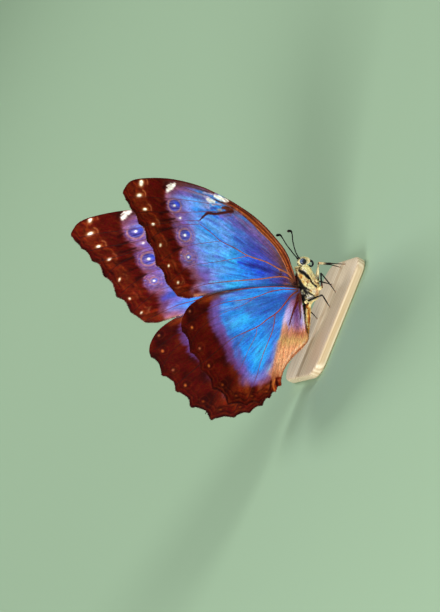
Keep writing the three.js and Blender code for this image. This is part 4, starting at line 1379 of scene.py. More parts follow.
# Stations along the body: forward, back height, belly height, half width, depth of coat.
BODY = [
    (-15.4, -1.8, -2.45, 0.35, 0.12), (-14.3, -1.25, -2.85, 0.85, 0.2), (-12.6, -0.95, -3.25, 1.25, 0.25),
    (-10.2, -0.85, -3.75, 1.55, 0.28), (-7.6, -1, -4.15, 1.65, 0.3), (-5.2, -1.45, -4.45, 1.5, 0.3),
    (-4.5, -1.7, -4.8, 1.4, 0.3), (-3.9, -1.2, -5.4, 1.8, 0.35), (-2.9, -0.5, -6.8, 2.35, 0.42),
    (-1.2, 0.35, -7.45, 2.7, 0.5), (1, 0.7, -7.5, 2.75, 0.5), (3.6, 0.35, -6.5, 2.5, 0.5),
    (5.2, -0.1, -5.6, 2.15, 0.45), (6.3, -0.55, -5, 1.7, 0.4), (6.95, -1.35, -4.4, 1.2, 0.3),
    (7.4, -1.6, -4.1, 1.15, 0.25), (8.35, -1.3, -4.3, 1.4, 0.22), (9.1, -1.55, -4.05, 1.2, 0.2),
    (9.55, -2, -3.6, 0.75, 0.15), (9.75, -2.6, -3, 0.2, 0.05),
]
SEGMENTS = [-6.1, -7.6, -9, -10.4, -11.7, -12.9, -14, -14.9]   # joints between the abdomen's rings


def body_columns(shares):
    """Forward, back, belly, half width and coat depth at shares along the stations."""
    line = through(BODY, 12)
    return np.stack([np.interp(shares, np.linspace(0, 1, len(line)), column) for column in line.T])


def body_points(shares, turns, depth):
    """Places on the body, where depth 0 is the coat's tips and 1 the skin under it."""
    forward, back, belly, half, coat = body_columns(shares)
    inset = coat * depth
    half = np.maximum(half - inset, 0.04)
    height = np.maximum((back - belly) / 2 - inset, 0.04)
    rings = np.zeros_like(forward)
    for joint in SEGMENTS:
        rings += np.exp(-(((forward - joint) / 0.12) ** 2))
    squeeze = 1 - 0.05 * rings * depth
    lateral = np.cos(turns)
    upward = np.sin(turns)
    y = np.sign(lateral) * np.abs(lateral) ** 0.92 * half * squeeze
    z = (back + belly) / 2 + np.sign(upward) * np.abs(upward) ** 0.96 * height * squeeze
    return np.stack([forward, y, z], -1)


def body_mask(side, marks):
    """How strongly a set of strokes covers each place on the flank."""
    mask = Paint(side, (0, 0, 0))
    for knots, width, strength in marks:
        mask.stroke(knots, width, (1, 1, 1), strength, 5)
    return mask.colour[:, 0]


# Marks on the flank, each with its knots (forward and height), half width and strength.
THORAX_BLACK = [
    ([(6.1, -0.75), (5.5, -0.85), (5.1, -1.2), (4.6, -1.9), (4, -2.5), (3.4, -3.1), (2.8, -3.6),
      (2.4, -4)],
     [0.2, 0.5, 0.62, 0.6, 0.6, 0.56, 0.48, 0.24], 1.0),
    ([(2, -3.95), (1.2, -4.5), (0.6, -5.1), (0.25, -5.6)], [0.26, 0.32, 0.3, 0.42], 1.0),
    ([(4.6, -0.05), (3.4, -0.1), (2.4, -0.4), (1.4, -0.75), (0.5, -1.1)],
     [0.2, 0.34, 0.45, 0.52, 0.6], 1.0),
    ([(0.1, -0.5), (0, -1.4), (-0.1, -2.1), (-0.6, -2.9), (-0.9, -3.3)],
     [0.55, 0.6, 0.42, 0.24, 0.14], 1.0),
    ([(-4.6, -1.85), (-3.7, -1.45), (-2.8, -1.25), (-2.2, -1.7)], [0.3, 0.45, 0.55, 0.4], 1.0),
    ([(-2.8, -0.9), (-1.9, -0.55), (-0.8, -0.35)], [0.3, 0.25, 0.3], 0.95),
    ([(-4.3, -1.9), (-4.1, -2.9), (-3.7, -3.9), (-3.3, -4.8), (-3, -5.6)],
     [0.42, 0.3, 0.28, 0.26, 0.3], 1.0),
    ([(-1.7, -1.9), (-1.2, -2.25), (-0.8, -1.7)], 0.28, 0.95),
    ([(-1.2, -2.3), (-1.3, -3)], [0.26, 0.16], 0.8),
    ([(-1.8, -3.2), (-2.1, -3.9), (-2.5, -4.6)], [0.34, 0.26, 0.2], 0.9),
    ([(6.3, -0.9), (6.8, -1.5), (7.2, -2.2), (7.3, -3)], [0.16, 0.16, 0.24, 0.2], 0.75),
]
THORAX_BROWN = [
    ([(0.6, -2.5), (1.2, -2.7), (1.8, -2.8)], 0.14, 0.9),
    ([(1.9, -3.7), (1.5, -4.1)], 0.24, 0.8),
    ([(3.45, -1.1), (3.1, -1)], 0.2, 0.8),
    ([(1.9, -5.3), (1.6, -6), (1.4, -6.7), (1.3, -7.5)], [0.2, 0.36, 0.32, 0.3], 1.0),
    ([(2.7, -5.4), (3.1, -5.7)], 0.2, 0.5),
    ([(3.3, -4.3), (3.8, -4.3)], 0.14, 0.5),
    ([(2.2, -3.1), (1.9, -2.4)], 0.16, 0.5),
    ([(-0.7, -3.4), (-1.2, -3.9)], [0.3, 0.2], 0.5),
]
THORAX_WHITE = [
    ([(-3.1, -2.6), (-3, -3.4), (-2.9, -4.3)], [0.34, 0.5, 0.34], 0.95),
    ([(-1.7, -0.95), (-1.3, -0.75)], 0.26, 0.9),
    ([(-2, -1.55), (-1.8, -1.45)], 0.2, 0.6),
    ([(-0.75, -1.7), (-0.85, -2.3), (-0.8, -2.8)], 0.16, 0.5),
    ([(-2.3, -2.3), (-2, -2.7)], 0.28, 0.55),
    ([(5.3, -2), (5, -2.6)], 0.3, 0.8),
]
TAIL_BLACK = [
    ([(-4.3, -1.95), (-5.6, -1.85), (-7, -1.65), (-8.4, -1.5), (-9.6, -1.5)],
     [0.42, 0.26, 0.2, 0.26, 0.12], 1.0),
    ([(-12.4, -2), (-13.4, -1.9), (-14.2, -1.9), (-15.3, -2.1)], [0.14, 0.24, 0.26, 0.3], 0.85),
    ([(-4.4, -3.1), (-5.2, -2.6)], [0.3, 0.12], 0.8),
]
TAIL_BROWN = [
    ([(-6.8, -3), (-8.4, -2.95), (-9.8, -2.9), (-11.8, -2.65)], [0.16, 0.28, 0.28, 0.2], 1.0),
    ([(-10.8, -2.25), (-9.4, -2.4)], 0.14, 0.7),
    ([(-4.8, -2.3), (-5.8, -2.3), (-6.4, -2.5)], [0.3, 0.26, 0.16], 0.7),
    ([(-12, -1.5), (-13, -1.55), (-14, -1.6)], [0.24, 0.34, 0.3], 0.9),
]
TAIL_GOLD = [
    ([(-6.4, -2.2), (-8, -2.05), (-9.6, -1.95), (-12, -2.15)], [0.24, 0.3, 0.3, 0.2], 1.0),
    ([(-7.6, -3.4), (-9.8, -3.3), (-12, -2.95)], 0.2, 0.9),
]


def body_tint(points, random_tone):
    """The markings, the same on skin and coat: black bands on cream, straw on the abdomen."""
    forward, y, z = points.T
    ragged = np.stack([noise(forward * 2.1, z * 2.1, 87), noise(forward * 2.1, z * 2.1, 88)], -1)
    side = np.stack([forward, z], -1) + 0.1 * ragged
    paint = Paint(side, CREAM)
    flank = smooth(np.abs(y), 0.5, 1.0)
    tail = smooth(-forward, 4, 5)
    paint.lay(PALE_CREAM, 0.75 * smooth(random_tone, -0.1, 0.7))
    paint.lay(OCHRE, 0.45 * smooth(-random_tone, 0.2, 0.9))
    paint_thorax(paint, flank)
    paint_abdomen(paint, tail)
    paint.lay(BLACK, body_mask(side, TAIL_BLACK) * tail)
    paint.lay(BLACK, body_mask(side, THORAX_BLACK) * flank)
    top = (1 - smooth(np.abs(y), 0.5, 1.1)) * smooth(z, -1.7, -0.9)
    paint.lay(BLACK_BROWN, 0.9 * top * smooth(-forward, -5, -4.2))
    root = np.exp(-(((forward - 1.2) / 3.2) ** 4)) * smooth(z, -0.6, 0.3)
    paint.lay(MAROON, 0.85 * root)
    return paint.colour


def paint_thorax(paint, flank):
    """Cream with an orange shoulder, peach under the hind wing and white behind the legs."""
    forward, z = paint.places.T
    paint.lay(CREAM, smooth(forward, 2.5, 4) * smooth(-z, 2, 3) * 0.5)
    paint.spot((5.8, -3.2), (0.7, 0.8), CREAM, 0.6, 3)
    paint.spot((0.6, -3.2), (0.8, 1.1), CREAM, 0.7, 3, 20)
    paint.spot((1.8, -3.1), (0.5, 0.6), OCHRE, 0.6, 3)
    paint.spot((1.5, -1.9), (1.2, 0.6), CREAM, 0.8, 3, 30)
    paint.spot((2, -1.5), (0.6, 0.35), STRAW, 0.7, 3, 20)
    paint.spot((2.7, -2.1), (0.45, 0.35), PEACH, 0.7, 3, 20)
    paint.spot((3.7, -0.95), (0.95, 0.6), STRAW, 0.95, 4, -10)
    paint.spot((4.5, -1.2), (0.4, 0.5), OCHRE, 0.7, 3)
    paint.spot((6, -0.5), (0.6, 0.34), OCHRE, 0.8, 3, -20)
    paint.spot((-1, -4.9), (1.3, 0.5), IVORY, 0.7, 3)
    paint.spot((-1.8, -5.9), (1.4, 0.6), PEACH, 0.75, 3)
    paint.spot((0.2, -4.2), (0.4, 0.6), CREAM, 0.6, 3)
    rear = smooth(-forward, -0.2, 0.6) * (1 - smooth(-z, 2.6, 3.4)) * flank
    fleck = noise(forward * 3.4, z * 3.4, 89)
    paint.lay(BLACK, rear * smooth(fleck, -0.3, 0.1) * 0.85)
    paint.lay(GREY, rear * smooth(-fleck, 0.3, 0.6) * 0.7)
    paint.lay(ORANGE_BROWN, body_mask(paint.places, THORAX_BROWN))
    paint.lay(WHITE, body_mask(paint.places, THORAX_WHITE))


def paint_abdomen(paint, tail):
    """Straw and gold stripes, brown between them, and darker rings at the joints."""
    forward, z = paint.places.T
    paint.lay(STRAW, tail)
    paint.lay(OCHRE, tail * smooth(z, -1.6, -1.2) * 0.8)
    paint.lay(TAN, tail * smooth(-forward, 10.6, 12) * smooth(z, -2.2, -1.7))
    paint.lay(CREAM, body_mask(paint.places, TAIL_GOLD) * tail)
    paint.lay(ORANGE_BROWN, body_mask(paint.places, TAIL_BROWN) * tail)
    paint.lay(CREAM, tail * 0.8 * smooth(-z, 3.1, 3.7))
    paint.lay(CREAM, tail * smooth(forward, -6.4, -5.6) * smooth(-z, 2.8, 3.2))
    paint.lay(BLACK, smooth(-forward, 14.4, 15))
    for joint in SEGMENTS:
        ring = np.exp(-(((forward - joint) / 0.12) ** 2))
        paint.lay(ORANGE_BROWN, 0.35 * ring * tail)


def build_skin(material):
    rows, sides = 240, 96
    shares = np.linspace(0, 1, rows)
    turns = np.linspace(0, 2 * np.pi, sides, endpoint=False)
    share, turn = np.meshgrid(shares, turns, indexing="ij")
    local = body_points(share.ravel(), turn.ravel(), 1.0)
    tone = noise(local[:, 0] * 1.3, turn.ravel() * 3, 81)
    ends = np.stack([body_points(np.full(1, s), np.zeros(1), 1.0)[0] * [1, 0, 1] for s in (0, 1)])
    points = np.concatenate([local, ends])
    piece = add_mesh("body_skin", from_insect(points), closed_rings(rows, sides), material)
    paint_piece(piece, body_tint(points, np.append(tone, [0, 0])))
    keep(piece, "body_hair", "thorax", "abdomen", "head")


COATS = [                     # name, slot, from, to, count, lengths, width and lift of the locks
    ("coat_abdomen", "abdomen_hair", -15.5, -4.4, 9000, (0.45, 0.8), 0.1, 0.26),
    ("coat_thorax", "body_hair", -4.6, 6.7, 17500, (0.7, 1.25), 0.11, 0.4),
    ("coat_head", "body_hair", 6.4, 9.8, 7000, (0.32, 0.6), 0.07, 0.4),
]


NAPE_LIFT = 0.65              # how much steeper the locks stand behind the head


def coat_places(low, high, count, random):
    """Shares along the body between two stations, as dense on wide parts as on slim ones."""
    shares = np.linspace(0, 1, 600)
    line = body_columns(shares)
    girth = (line[3] + (line[1] - line[2]) / 2) * np.gradient(line[0])
    girth *= (line[0] > low) & (line[0] < high)
    reach = np.cumsum(np.maximum(girth, 0))
    return np.interp(random.uniform(0, 1, count) * reach[-1], reach, shares)


def build_coat(material, random):
    """Locks of hair over the whole skin: long on the thorax, short on head and abdomen."""
    for name, slot, low, high, count, lengths, width, lift in COATS:
        picks = coat_places(low, high, count, random)
        turns = random.uniform(0, 2 * np.pi, count)
        skin = body_points(picks, turns, 1.0)
        bare = near_eye(skin, 0.08)
        picks, turns, skin = picks[~bare], turns[~bare], skin[~bare]
        count = len(picks)
        step_on = body_points(np.clip(picks + 0.004, 0, 1), turns, 1.0)
        step_back = body_points(np.clip(picks - 0.004, 0, 1), turns, 1.0)
        ahead = step_on - step_back
        around = body_points(picks, turns + 0.02, 1.0) - body_points(picks, turns - 0.02, 1.0)
        normals = unit(np.cross(around, ahead))
        middle = np.stack([skin[:, 0], 0 * picks, body_columns(picks)[1:3].mean(0)], -1)
        normals *= np.sign(np.sum(normals * (skin - middle), axis=1, keepdims=True))
        nape = smooth(skin[:, 0], 5.9, 6.6) * (1 - smooth(skin[:, 0], 8.6, 9.1))
        nape *= smooth(normals[:, 2], 0, 0.6)
        flow = -unit(ahead) + np.array([0, 0, -0.35]) + random.normal(0, 0.22, (count, 3))
        flow = unit(flow - normals * np.sum(flow * normals, axis=1, keepdims=True))
        rise = random.uniform(lift * 0.5, lift * 1.4, count) + NAPE_LIFT * nape
        leans = unit(flow + normals * rise[:, None])
        length = random.uniform(*lengths, count) * (1 + 0.25 * noise(skin[:, 0] * 1.1, turns * 2.2, 91))
        length *= 1 + nape
        tone = noise(skin[:, 0] * 1.3, turns * 3, 81)
        stops = [skin + leans * length[:, None] * share for share in (0.05, 0.5, 0.9)]
        tints = np.stack([body_tint(place, tone) for place in stops], 1)
        tints *= random.uniform(0.84, 1.12, count)[:, None, None]
        bake = np.column_stack([turns / (2 * np.pi), picks]) * 0.98 + 0.01
        piece = add_tufts(
            name, material, from_insect(skin), way_from_insect(leans),
            way_from_insect(normals), length, width * random.uniform(0.7, 1.3, count),
            tints, bake, 0.18,
        )
        keep(piece, slot)


# ---------------------------------------------------------------- head parts

EYE_CENTRE = np.array([8.16, 1.32, -2.3])
EYE_RADII = np.array([0.93, 0.6, 1.03])
FEELER_RING = 0.34            # length of one ring of a feeler
RIM_SCALES, PALP_SCALES, LEG_SCALES = 420, 1100, 900


def near_eye(points, margin):
    """Which points lie inside either eye, swollen by a margin."""
    away = (np.abs(points * [0, 1, 0]) + points * [1, 0, 1] - EYE_CENTRE) / (EYE_RADII + margin)
    return np.linalg.norm(away, axis=1) < 1


def build_eye(sign, side, material):
    """A bulging compound eye, black below, with a dark equator and a painted sky reflection that makes it
    blue-grey above and in front.
    """
    rows, sides = 48, 72
    polar = np.linspace(0.02, np.pi - 0.02, rows)
    turn = np.linspace(0, 2 * np.pi, sides, endpoint=False)
    p, t = np.meshgrid(polar, turn, indexing="ij")
    ball = np.stack([np.sin(p) * np.cos(t), sign * np.cos(p), np.sin(p) * np.sin(t)], -1).reshape(-1, 3)
    local = ball * EYE_RADII + EYE_CENTRE * [1, sign, 1]
    tips = EYE_CENTRE * [1, sign, 1] + np.array([[0, sign, 0], [0, -sign, 0]]) * EYE_RADII
    quads, caps = closed_rings(rows, sides)
    if sign < 0:
        quads, caps = quads[:, ::-1], caps[:, ::-1]
    points = np.concatenate([local, tips])
    piece = add_mesh(f"eye_{side}_globe", from_insect(points), [quads, caps], material)
    around = np.concatenate([ball, [[0, sign, 0], [0, -sign, 0]]])
    # Painted sky reflection: dark blue, then blue-grey, laid on towards the eye's top and front.
    height = 0.85 * around[:, 2] + 0.3 * around[:, 0]
    paint = Paint(around[:, :2], (7, 8, 12))
    paint.lay((30, 42, 84), smooth(height, -0.25, 0.3) * 0.8)
    paint.lay((92, 116, 150), smooth(height, 0.2, 0.7) * 0.85)
    paint.lay((14, 18, 34), np.exp(-(((height - 0.42) / 0.08) ** 2)) * 0.5)
    paint.lay((20, 12, 8), smooth(-height, 0.5, 0.9) * 0.7)
    paint_piece(piece, paint.colour)
    keep(piece, "eye", f"eye_{side}")


def build_eye_rim(sign, side, material, random):
    """A ring of short white scales round the eye."""
    count = RIM_SCALES
    turn = random.uniform(0, 2 * np.pi, count)
    ring = np.stack([np.cos(turn), np.full(count, 0.0), np.sin(turn)], -1)
    depth = random.uniform(-0.05, 0.2, count)[:, None]
    roots = EYE_CENTRE * [1, sign, 1] + ring * EYE_RADII * (1.0 + depth * 0.3)
    roots[:, 1] = sign * (1.22 - depth[:, 0] * 0.9)
    leans = unit(ring * 0.8 + np.array([-0.5, sign * 0.25, 0]) + random.normal(0, 0.15, (count, 3)))
    normals = unit(np.tile([0.0, sign, 0.0], (count, 1)) + ring * 0.3)
    tints = np.tile(np.array([238.0, 228, 196]), (count, 1)) * random.uniform(0.7, 1.08, count)[:, None]
    bake = np.column_stack([turn / (2 * np.pi), 0.5 + depth[:, 0]]) * 0.98 + 0.01
    piece = add_tufts(
        f"eye_{side}_rim", material, from_insect(roots), way_from_insect(leans),
        way_from_insect(normals), random.uniform(0.18, 0.34, count), random.uniform(0.06, 0.09, count),
        tints, bake, 0.1,
    )
    keep(piece, "body_hair")


def build_antenna(sign, side, material):
    """A thin ringed shaft that hooks back into a club."""
    knots = np.array([(9.1, 0.55, -1.6), (9.5, 0.7, -1.15), (11.2, 1.3, -0.1), (14, 3.0, 1.15),
                      (16.2, 4.4, 1.75), (17.2, 4.9, 2.3), (17.15, 5.1, 3.6)]) * [1, sign, 1]
    line = spread(through(knots, 24), np.linspace(0, 1, 260))
    share = np.linspace(0, 1, 260)
    total = lengths_along(line)[-1]
    shaft = 0.19 - 0.03 * share
    club = 0.26 * smooth(share, 0.78, 0.93) * (1 - 0.55 * smooth(share, 0.95, 1.0))
    bulb = 0.16 * np.exp(-(((share - 0.035) / 0.018) ** 2))
    phase = share * total / FEELER_RING * 2 * np.pi
    ring = 0.018 * np.cos(phase)
    radii = (shaft + club + bulb + ring) * (1 - smooth(share, 0.985, 1.0) * 0.8)
    points, faces = tube(from_insect(line), radii, 14)
    piece = add_mesh(f"antenna_{side}_shaft", points, faces, material)
    paint = Paint(np.column_stack([share, share]), BLACK)
    paint.lay((84, 66, 52), 0.3 * smooth(np.cos(phase + 2.4), 0.7, 1) * (share < 0.8))
    paint.lay((64, 34, 20), smooth(share, 0.96, 1.0) * 0.8)
    tint = np.repeat(paint.colour, 14, axis=0)
    paint_piece(piece, np.concatenate([tint, paint.colour[:1], paint.colour[-1:]]))
    keep(piece, "dark_chitin", f"antenna_{side}")


def build_proboscis(material):
    """The loosely rolled tongue: two ringed half tubes with a groove between them."""
    line = through([(8.1, 0, -3.8), (8.42, 0, -4.3), (8.5, 0, -4.85), (8.3, 0, -5.45), (7.75, 0, -5.88),
                    (7.1, 0.05, -5.8), (6.72, 0.12, -5.35), (6.85, 0.2, -4.95), (7.2, 0.26, -4.85)], 20)
    line = spread(line, np.linspace(0, 1, 300))
    along = np.linspace(0, 1, 300)
    radii = (0.35 - 0.12 * along) * (1 + 0.07 * np.cos(along * 300))
    radii *= 1 - 0.7 * smooth(along, 0.985, 1.0)
    parts, tints = [], []
    for half in (-1, 1):
        offset = np.array([0, half * 0.07, 0])
        parts.append(tube(from_insect(line + offset), radii, 12))
        shade = np.tile(np.array([10.0, 12, 22]), (300, 1))
        shade += np.array([26, 20, 24]) * smooth(np.cos(along * 300), 0.4, 1)[:, None]
        tints += [np.repeat(shade, 12, axis=0), shade[:1], shade[-1:]]
    points, faces = join(parts)
    piece = add_mesh("proboscis_coil", points, faces, material)
    paint_piece(piece, np.concatenate(tints))
    keep(piece, "dark_chitin", "proboscis")


def turn_round(aside):
    """Share of a turn, from 0 to 1, at which each direction lies round a limb."""
    return np.arctan2(aside[:, 1], aside[:, 2]) / (2 * np.pi) + 0.5


def build_palp(sign, side, material, random):
    """A brush of pale scales with a dark side, over a slim core."""
    knots = [(7.6, 0.62 * sign, -3.95), (8, 0.76 * sign, -4.35), (8.7, 0.8 * sign, -4.4),
             (9.3, 0.62 * sign, -3.9)]
    line = spread(through(knots), np.linspace(0, 1, 40))
    radii = 0.2 + 0.08 * np.sin(np.pi * np.linspace(0, 1, 40))
    points, faces = tube(from_insect(line), radii, 12)
    core = add_mesh(f"palp_{side}_core", points, faces, material)
    paint_piece(core, np.tile(np.array([206.0, 186, 140]), (len(points), 1)))
    keep(core, "body_hair", f"palp_{side}")
    count = PALP_SCALES
    share = random.uniform(0, 1, count)
    centre = spread(through(knots), share)
    ahead = heading(through(knots), share, 0.05)
    aside = unit(random.normal(0, 1, (count, 3)))
    aside = unit(aside - ahead * np.sum(aside * ahead, axis=1, keepdims=True))
    roots = centre + aside * 0.2
    leans = unit(ahead + aside * random.uniform(0.2, 0.6, count)[:, None])
    dark = smooth(aside[:, 1] * sign, 0.7, 0.9) * 0.15
    tints = np.array([255.0, 238, 186]) * random.uniform(0.8, 1.05, count)[:, None]
    tints = tints + (np.array(BLACK) - tints) * dark[:, None]
    bake = np.column_stack([turn_round(aside), share]) * 0.98 + 0.01
    piece = add_tufts(
        f"palp_{side}_brush", material, from_insect(roots), way_from_insect(leans),
        way_from_insect(aside), random.uniform(0.2, 0.42, count), random.uniform(0.05, 0.08, count),
        tints, bake, 0.1,
    )
    keep(piece, "body_hair")


# ---------------------------------------------------------------- legs

# Hip, knee, ankle and foot of each leg, in the standing frame.
LEGS = {
    "fore_right": [(4.8, -2.6, 6.3), (9.8, -2.6, 8.3), (11.4, -2.3, 4.3), (13.2, -1.9, 0)],
    "fore_left": [(5.3, 2.4, 5.6), (10.8, 2.2, 6.7), (12.1, 2.0, 3.2), (12.6, 1.8, 0)],
    "mid_right": [(3.3, -2.6, 4.3), (7.1, -3.0, 6.5), (4.8, -3.5, 2.2), (3.5, -3.8, 0)],
    "mid_left": [(3.6, 2.5, 4.3), (6.0, 3.4, 4.6), (6.6, 3.5, 1.9), (6.9, 3.4, 0)],
    "hind_right": [(-2.5, -2.8, 6.8), (0.8, -4.0, 3.7), (-0.8, -4.4, 1.6), (-1.8, -4.6, 0)],
    "hind_left": [(-1.2, 3.1, 5.0), (-3.1, 3.4, 5.7), (-3.9, 3.6, 2.2), (-4.7, 3.8, 0)],
}
FOOT_TIP = 0.07               # height of the last foot joint's middle above the plate


def limb(start, end, radii, shades, sides=12, bow=0.0, rings=None):
    """One straight or slightly bowed leg piece: points, faces and a colour for each point."""
    steps = 40
    share = np.linspace(0, 1, steps)
    line = start + (end - start) * share[:, None]
    line = line + np.array([0, 0, bow]) * np.sin(np.pi * share)[:, None]
    size = np.interp(share, np.linspace(0, 1, len(radii)), radii)
    if rings:
        size = size * (1 - 0.28 * np.exp(-((((share * rings) % 1 - 0.98) / 0.09) ** 2)))
    size[0] *= 0.6
    size[-1] *= 0.6
    points, faces = tube(line, size, sides)
    shades = np.asarray(shades, float)
    tone = np.stack([np.interp(share, np.linspace(0, 1, len(shades)), column) for column in shades.T], -1)
    tint = np.concatenate([np.repeat(tone, sides, axis=0), tone[:1], tone[-1:]])
    return points, faces, tint


def spine(root, way, length, radius, shade):
    """A slim pointed spine."""
    line = root + unit(way) * length * np.linspace(0, 1, 6)[:, None]
    points, faces = tube(line, radius * np.array([1, 0.95, 0.8, 0.6, 0.35, 0.08]), 6)
    return points, faces, np.tile(np.asarray(shade, float), (len(points), 1))


def build_leg(name, material, hair, random):
    hip, knee, ankle, foot = (from_standing(joint) for joint in LEGS[name])
    foot = foot + np.array([0, 0, FOOT_TIP])
    side = 1 if name.endswith("left") else -1
    dark, brown = (12, 9, 9), (150, 84, 46)
    fore = name.startswith("fore")
    pale = (214, 196, 150) if fore else dark
    rusty = (128, 58, 28) if name.startswith("mid") else dark
    top = (196, 150, 110) if fore else dark
    body = from_standing(LEGS[name][0]) + np.array([-0.5, -side * 1.3, 0.2])
    parts = [
        limb(body, hip, [0.5, 0.46, 0.3], [CREAM, CREAM, rusty]),
        limb(hip, knee, [0.27, 0.3, 0.25, 0.2, 0.22], [rusty, pale, pale, dark], bow=0.05),
        limb(knee, ankle, [0.21, 0.19, 0.2, 0.21], [top, pale, dark, dark], bow=-0.04),
        limb(ankle, foot, [0.18, 0.16, 0.14, 0.13, 0.11], [dark, dark, dark, brown], rings=5),
    ]
    shin = unit(ankle - knee)
    across = unit(np.cross(shin, [0, 1, 0.2]))
    for way in (across, -across):
        parts.append(spine(ankle - shin * 0.15, shin + way * 0.55, 0.65, 0.055, brown))
    for share in np.linspace(0.15, 0.9, 9):
        for way in (across, -across):
            root = knee + (ankle - knee) * share + way * 0.14
            parts.append(spine(root, shin * 0.9 + way, 0.3, 0.03, dark))
    sole = unit((foot - ankle) * [1, 1, 0] + 1e-6)
    beside = np.array([-sole[1], sole[0], 0])
    for way in (beside, -beside):
        claw = through([foot, foot + sole * 0.22 + way * 0.1 + [0, 0, 0.04],
                        foot + sole * 0.36 + way * 0.14 - [0, 0, 0.05]], 8)
        points, faces = tube(claw, np.linspace(0.055, 0.012, len(claw)), 6)
        parts.append((points, faces, np.tile(np.array([40.0, 22, 14]), (len(points), 1))))
    points, faces = join([(part[0], part[1]) for part in parts])
    piece = add_mesh(f"leg_{name}", points, faces, material)
    paint_piece(piece, np.concatenate([part[2] for part in parts]))
    keep(piece, "leg", *(f"leg_{name}_{part}" for part in ("femur", "tibia", "tarsus")))
    build_leg_hair(name, [body, hip, knee, ankle, foot], pale, hair, random)


def build_leg_hair(name, joints, pale, material, random):
    """Short scales that lie along the thigh and shin, longer on the hip."""
    count = LEG_SCALES
    pick = random.choice(3, count, p=[0.45, 0.35, 0.2])
    share = random.uniform(0.05, 0.95, count)
    start, end = np.array(joints)[pick], np.array(joints)[pick + 1]
    ahead = unit(end - start)
    aside = random.normal(0, 1, (count, 3))
    aside = unit(aside - ahead * np.sum(aside * ahead, axis=1, keepdims=True))
    thickness = np.array([0.36, 0.22, 0.16])[pick]
    roots = start + (end - start) * share[:, None] + aside * thickness[:, None]
    leans = unit(ahead + aside * random.uniform(0.12, 0.4, count)[:, None])
    shades = np.array([CREAM, pale, (16, 12, 12)], float)[pick]
    tints = shades * random.uniform(0.7, 1.15, count)[:, None]
    length = np.array([0.5, 0.26, 0.2])[pick] * random.uniform(0.7, 1.2, count)
    bake = np.column_stack([turn_round(aside), (pick + share) / 3]) * 0.98 + 0.01
    piece = add_tufts(f"leg_{name}_scales", material, roots, leans, aside, length,
                      random.uniform(0.05, 0.08, count), tints, bake, 0.1)
    keep(piece, "leg")


# ---------------------------------------------------------------- stand


def build_stand(material):
    """A rounded wooden plate with soft edges and a shallow step under it."""
    low, high, middle = base_low, base_high, base_middle
    corner, steps = 5.0, 16       # radius of the plate's corners, and points on each
    half = (high - low)[:2] / 2
    # How far in from the outline the side is, and at what height.
    profile = [(0.75, 0.0), (0.55, 0.35), (0.12, 0.5), (0.02, 0.75), (0.0, 1.4), (0.0, 2.1),
               (0.05, 2.5), (0.2, 2.8), (0.5, 2.95), (0.8, 3.0)]
    rings = []
    for inset, height in profile:
        ring = []
        for quarter in range(4):
            turn = np.linspace(quarter, quarter + 1, steps) * np.pi / 2
            sign = np.array([1 if quarter in (0, 3) else -1, 1 if quarter in (0, 1) else -1])
            centre = sign * (half - corner)
            arc = np.column_stack([np.cos(turn), np.sin(turn)]) * (corner - inset)
            ring.append(np.column_stack([middle[:2] + centre + arc, np.full(steps, low[2] + height)]))
        rings.append(np.concatenate(ring))
    count = len(rings[0])
    for share in (0.8, 0.5, 0.2):
        flat = rings[-1].copy()
        flat[:, :2] = middle[:2] + (rings[len(profile) - 1][:, :2] - middle[:2]) * share
        rings.append(flat)
    points = np.concatenate(rings)
    bottom = np.array([[middle[0], middle[1], low[2]]])
    top = np.array([[middle[0], middle[1], high[2]]])
    points = np.concatenate([points, bottom, top])
    piece = add_mesh("stand_plate", points, closed_rings(len(rings), count), material)
    keep(piece, "stand_wood", "stand_base")


# ---------------------------------------------------------------- studio


def build_floor():
    """A wide pale floor that rises gently far out."""
    material, _, shader = new_material("studio_floor")
    shader.inputs["Base Color"].default_value = (*linear((154, 182, 150)), 1)
    shader.inputs["Roughness"].default_value = 0.9
    sides = 96
    turn = 2 * np.pi * np.arange(sides) / sides
    profile = [(1, 0), (200, 0), (1200, 0), (1900, 20), (2400, 120), (2800, 360), (3000, 700),
               (3100, 1100)]      # radius and height
    rings = [np.column_stack([r * np.cos(turn), r * np.sin(turn), np.full(sides, z)]) for r, z in profile]
    index = np.arange(len(rings) * sides).reshape(len(rings), sides)
    quads = grid_quads(len(rings), sides + 1, np.concatenate([index, index[:, :1]], axis=1))
    points = np.concatenate(rings)
    floor = add_mesh("studio_floor", points, [quads[:, ::-1], index[:1]], material)


def build_light(name, place, aim, size, power, colour=(1, 1, 1)):
    lamp = bpy.data.lights.new(name, "AREA")
    lamp.shape = "DISK"
    lamp.size = size
    lamp.energy = power
    lamp.color = colour
    holder = bpy.data.objects.new(name, lamp)
    bpy.context.scene.collection.objects.link(holder)
    look(holder, place, aim)


def look(holder, place, aim):
    """Puts a light at a place, turned towards its aim."""
    holder.location = Vector(place)
    way = Vector(aim) - Vector(place)
    holder.rotation_euler = way.to_track_quat("-Z", "Y").to_euler()


# Which way the camera's right, up and back point in the shared frame.
CAMERA_RIGHT = np.array([0.3732, -0.3154, -0.8725])
CAMERA_UP = np.array([0.9009, -0.1015, 0.4221])
CAMERA_BACK = np.array([-0.2217, -0.9435, 0.2463])
CAMERA_DISTANCE = 1000
CAMERA_LENS = 192.7
HINGE_RIGHT, HINGE_UP = 23.348, 5.221   # where the hinges are from the middle of the view


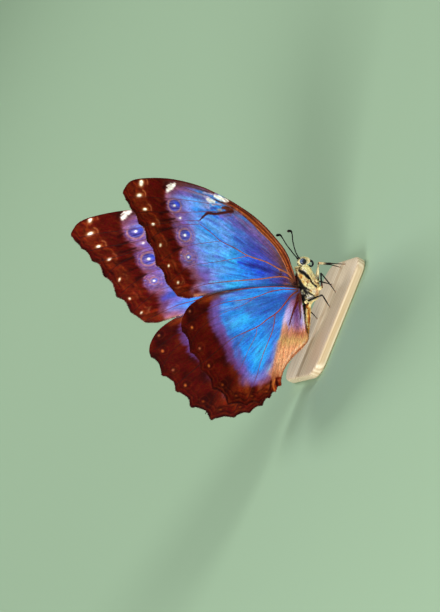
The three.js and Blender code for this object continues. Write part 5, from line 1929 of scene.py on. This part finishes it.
def build_camera():
    """The camera looks down a little on the insect's right side, turned so that its head is up."""
    data = bpy.data.cameras.new("camera")
    data.lens = CAMERA_LENS
    data.sensor_width = 36
    data.clip_start, data.clip_end = 0.01, 20
    camera = bpy.data.objects.new("camera", data)
    bpy.context.scene.collection.objects.link(camera)
    hinge = from_insect(np.zeros(3))
    place = hinge - HINGE_RIGHT * CAMERA_RIGHT - HINGE_UP * CAMERA_UP + CAMERA_DISTANCE * CAMERA_BACK
    turn = Matrix([list(row) for row in np.column_stack([CAMERA_RIGHT, CAMERA_UP, CAMERA_BACK])])
    camera.matrix_world = Matrix.Translation(place * MM) @ turn.to_4x4()
    bpy.context.scene.camera = camera


def build_studio():
    build_floor()
    middle = (np.array(cad_low) + np.array(cad_high)) / 2
    build_light("key_light", middle + [-0.75, -0.85, 0.28], middle, 0.45, 17)
    build_light("fill_light", middle + [0.9, -0.7, 0.5], middle, 0.5, 7)
    build_light("back_light", middle + [0.1, 0.7, 0.8], middle, 0.5, 5)
    world = bpy.data.worlds.new("studio_light")
    world.use_nodes = True
    world.node_tree.nodes["Background"].inputs["Color"].default_value = (*linear((236, 240, 238)), 1)
    world.node_tree.nodes["Background"].inputs["Strength"].default_value = 0.3
    bpy.context.scene.world = world
    bpy.context.scene.view_settings.view_transform = "Standard"


# ---------------------------------------------------------------- the whole

random = np.random.default_rng(1867)
build_camera()
build_studio()
build_wings(random)
chitin = tinted_material("dark_chitin", 0.45, 3000, 0.15, specular=0.15, coat=0.03)
coat_finish = tinted_material("coat_hair", 0.66, 1500, 0.08, specular=0.12, sheen=0.04)
build_skin(coat_finish)
build_coat(coat_finish, random)
eye_finish = eye_material()
for side, sign in (("right", -1), ("left", 1)):
    build_eye(sign, side, eye_finish)
    build_eye_rim(sign, side, coat_finish, random)
    build_antenna(sign, side, chitin)
    build_palp(sign, side, coat_finish, random)
build_proboscis(chitin)
for leg_name in LEGS:
    build_leg(leg_name, chitin, coat_finish, random)
build_stand(wood_material())
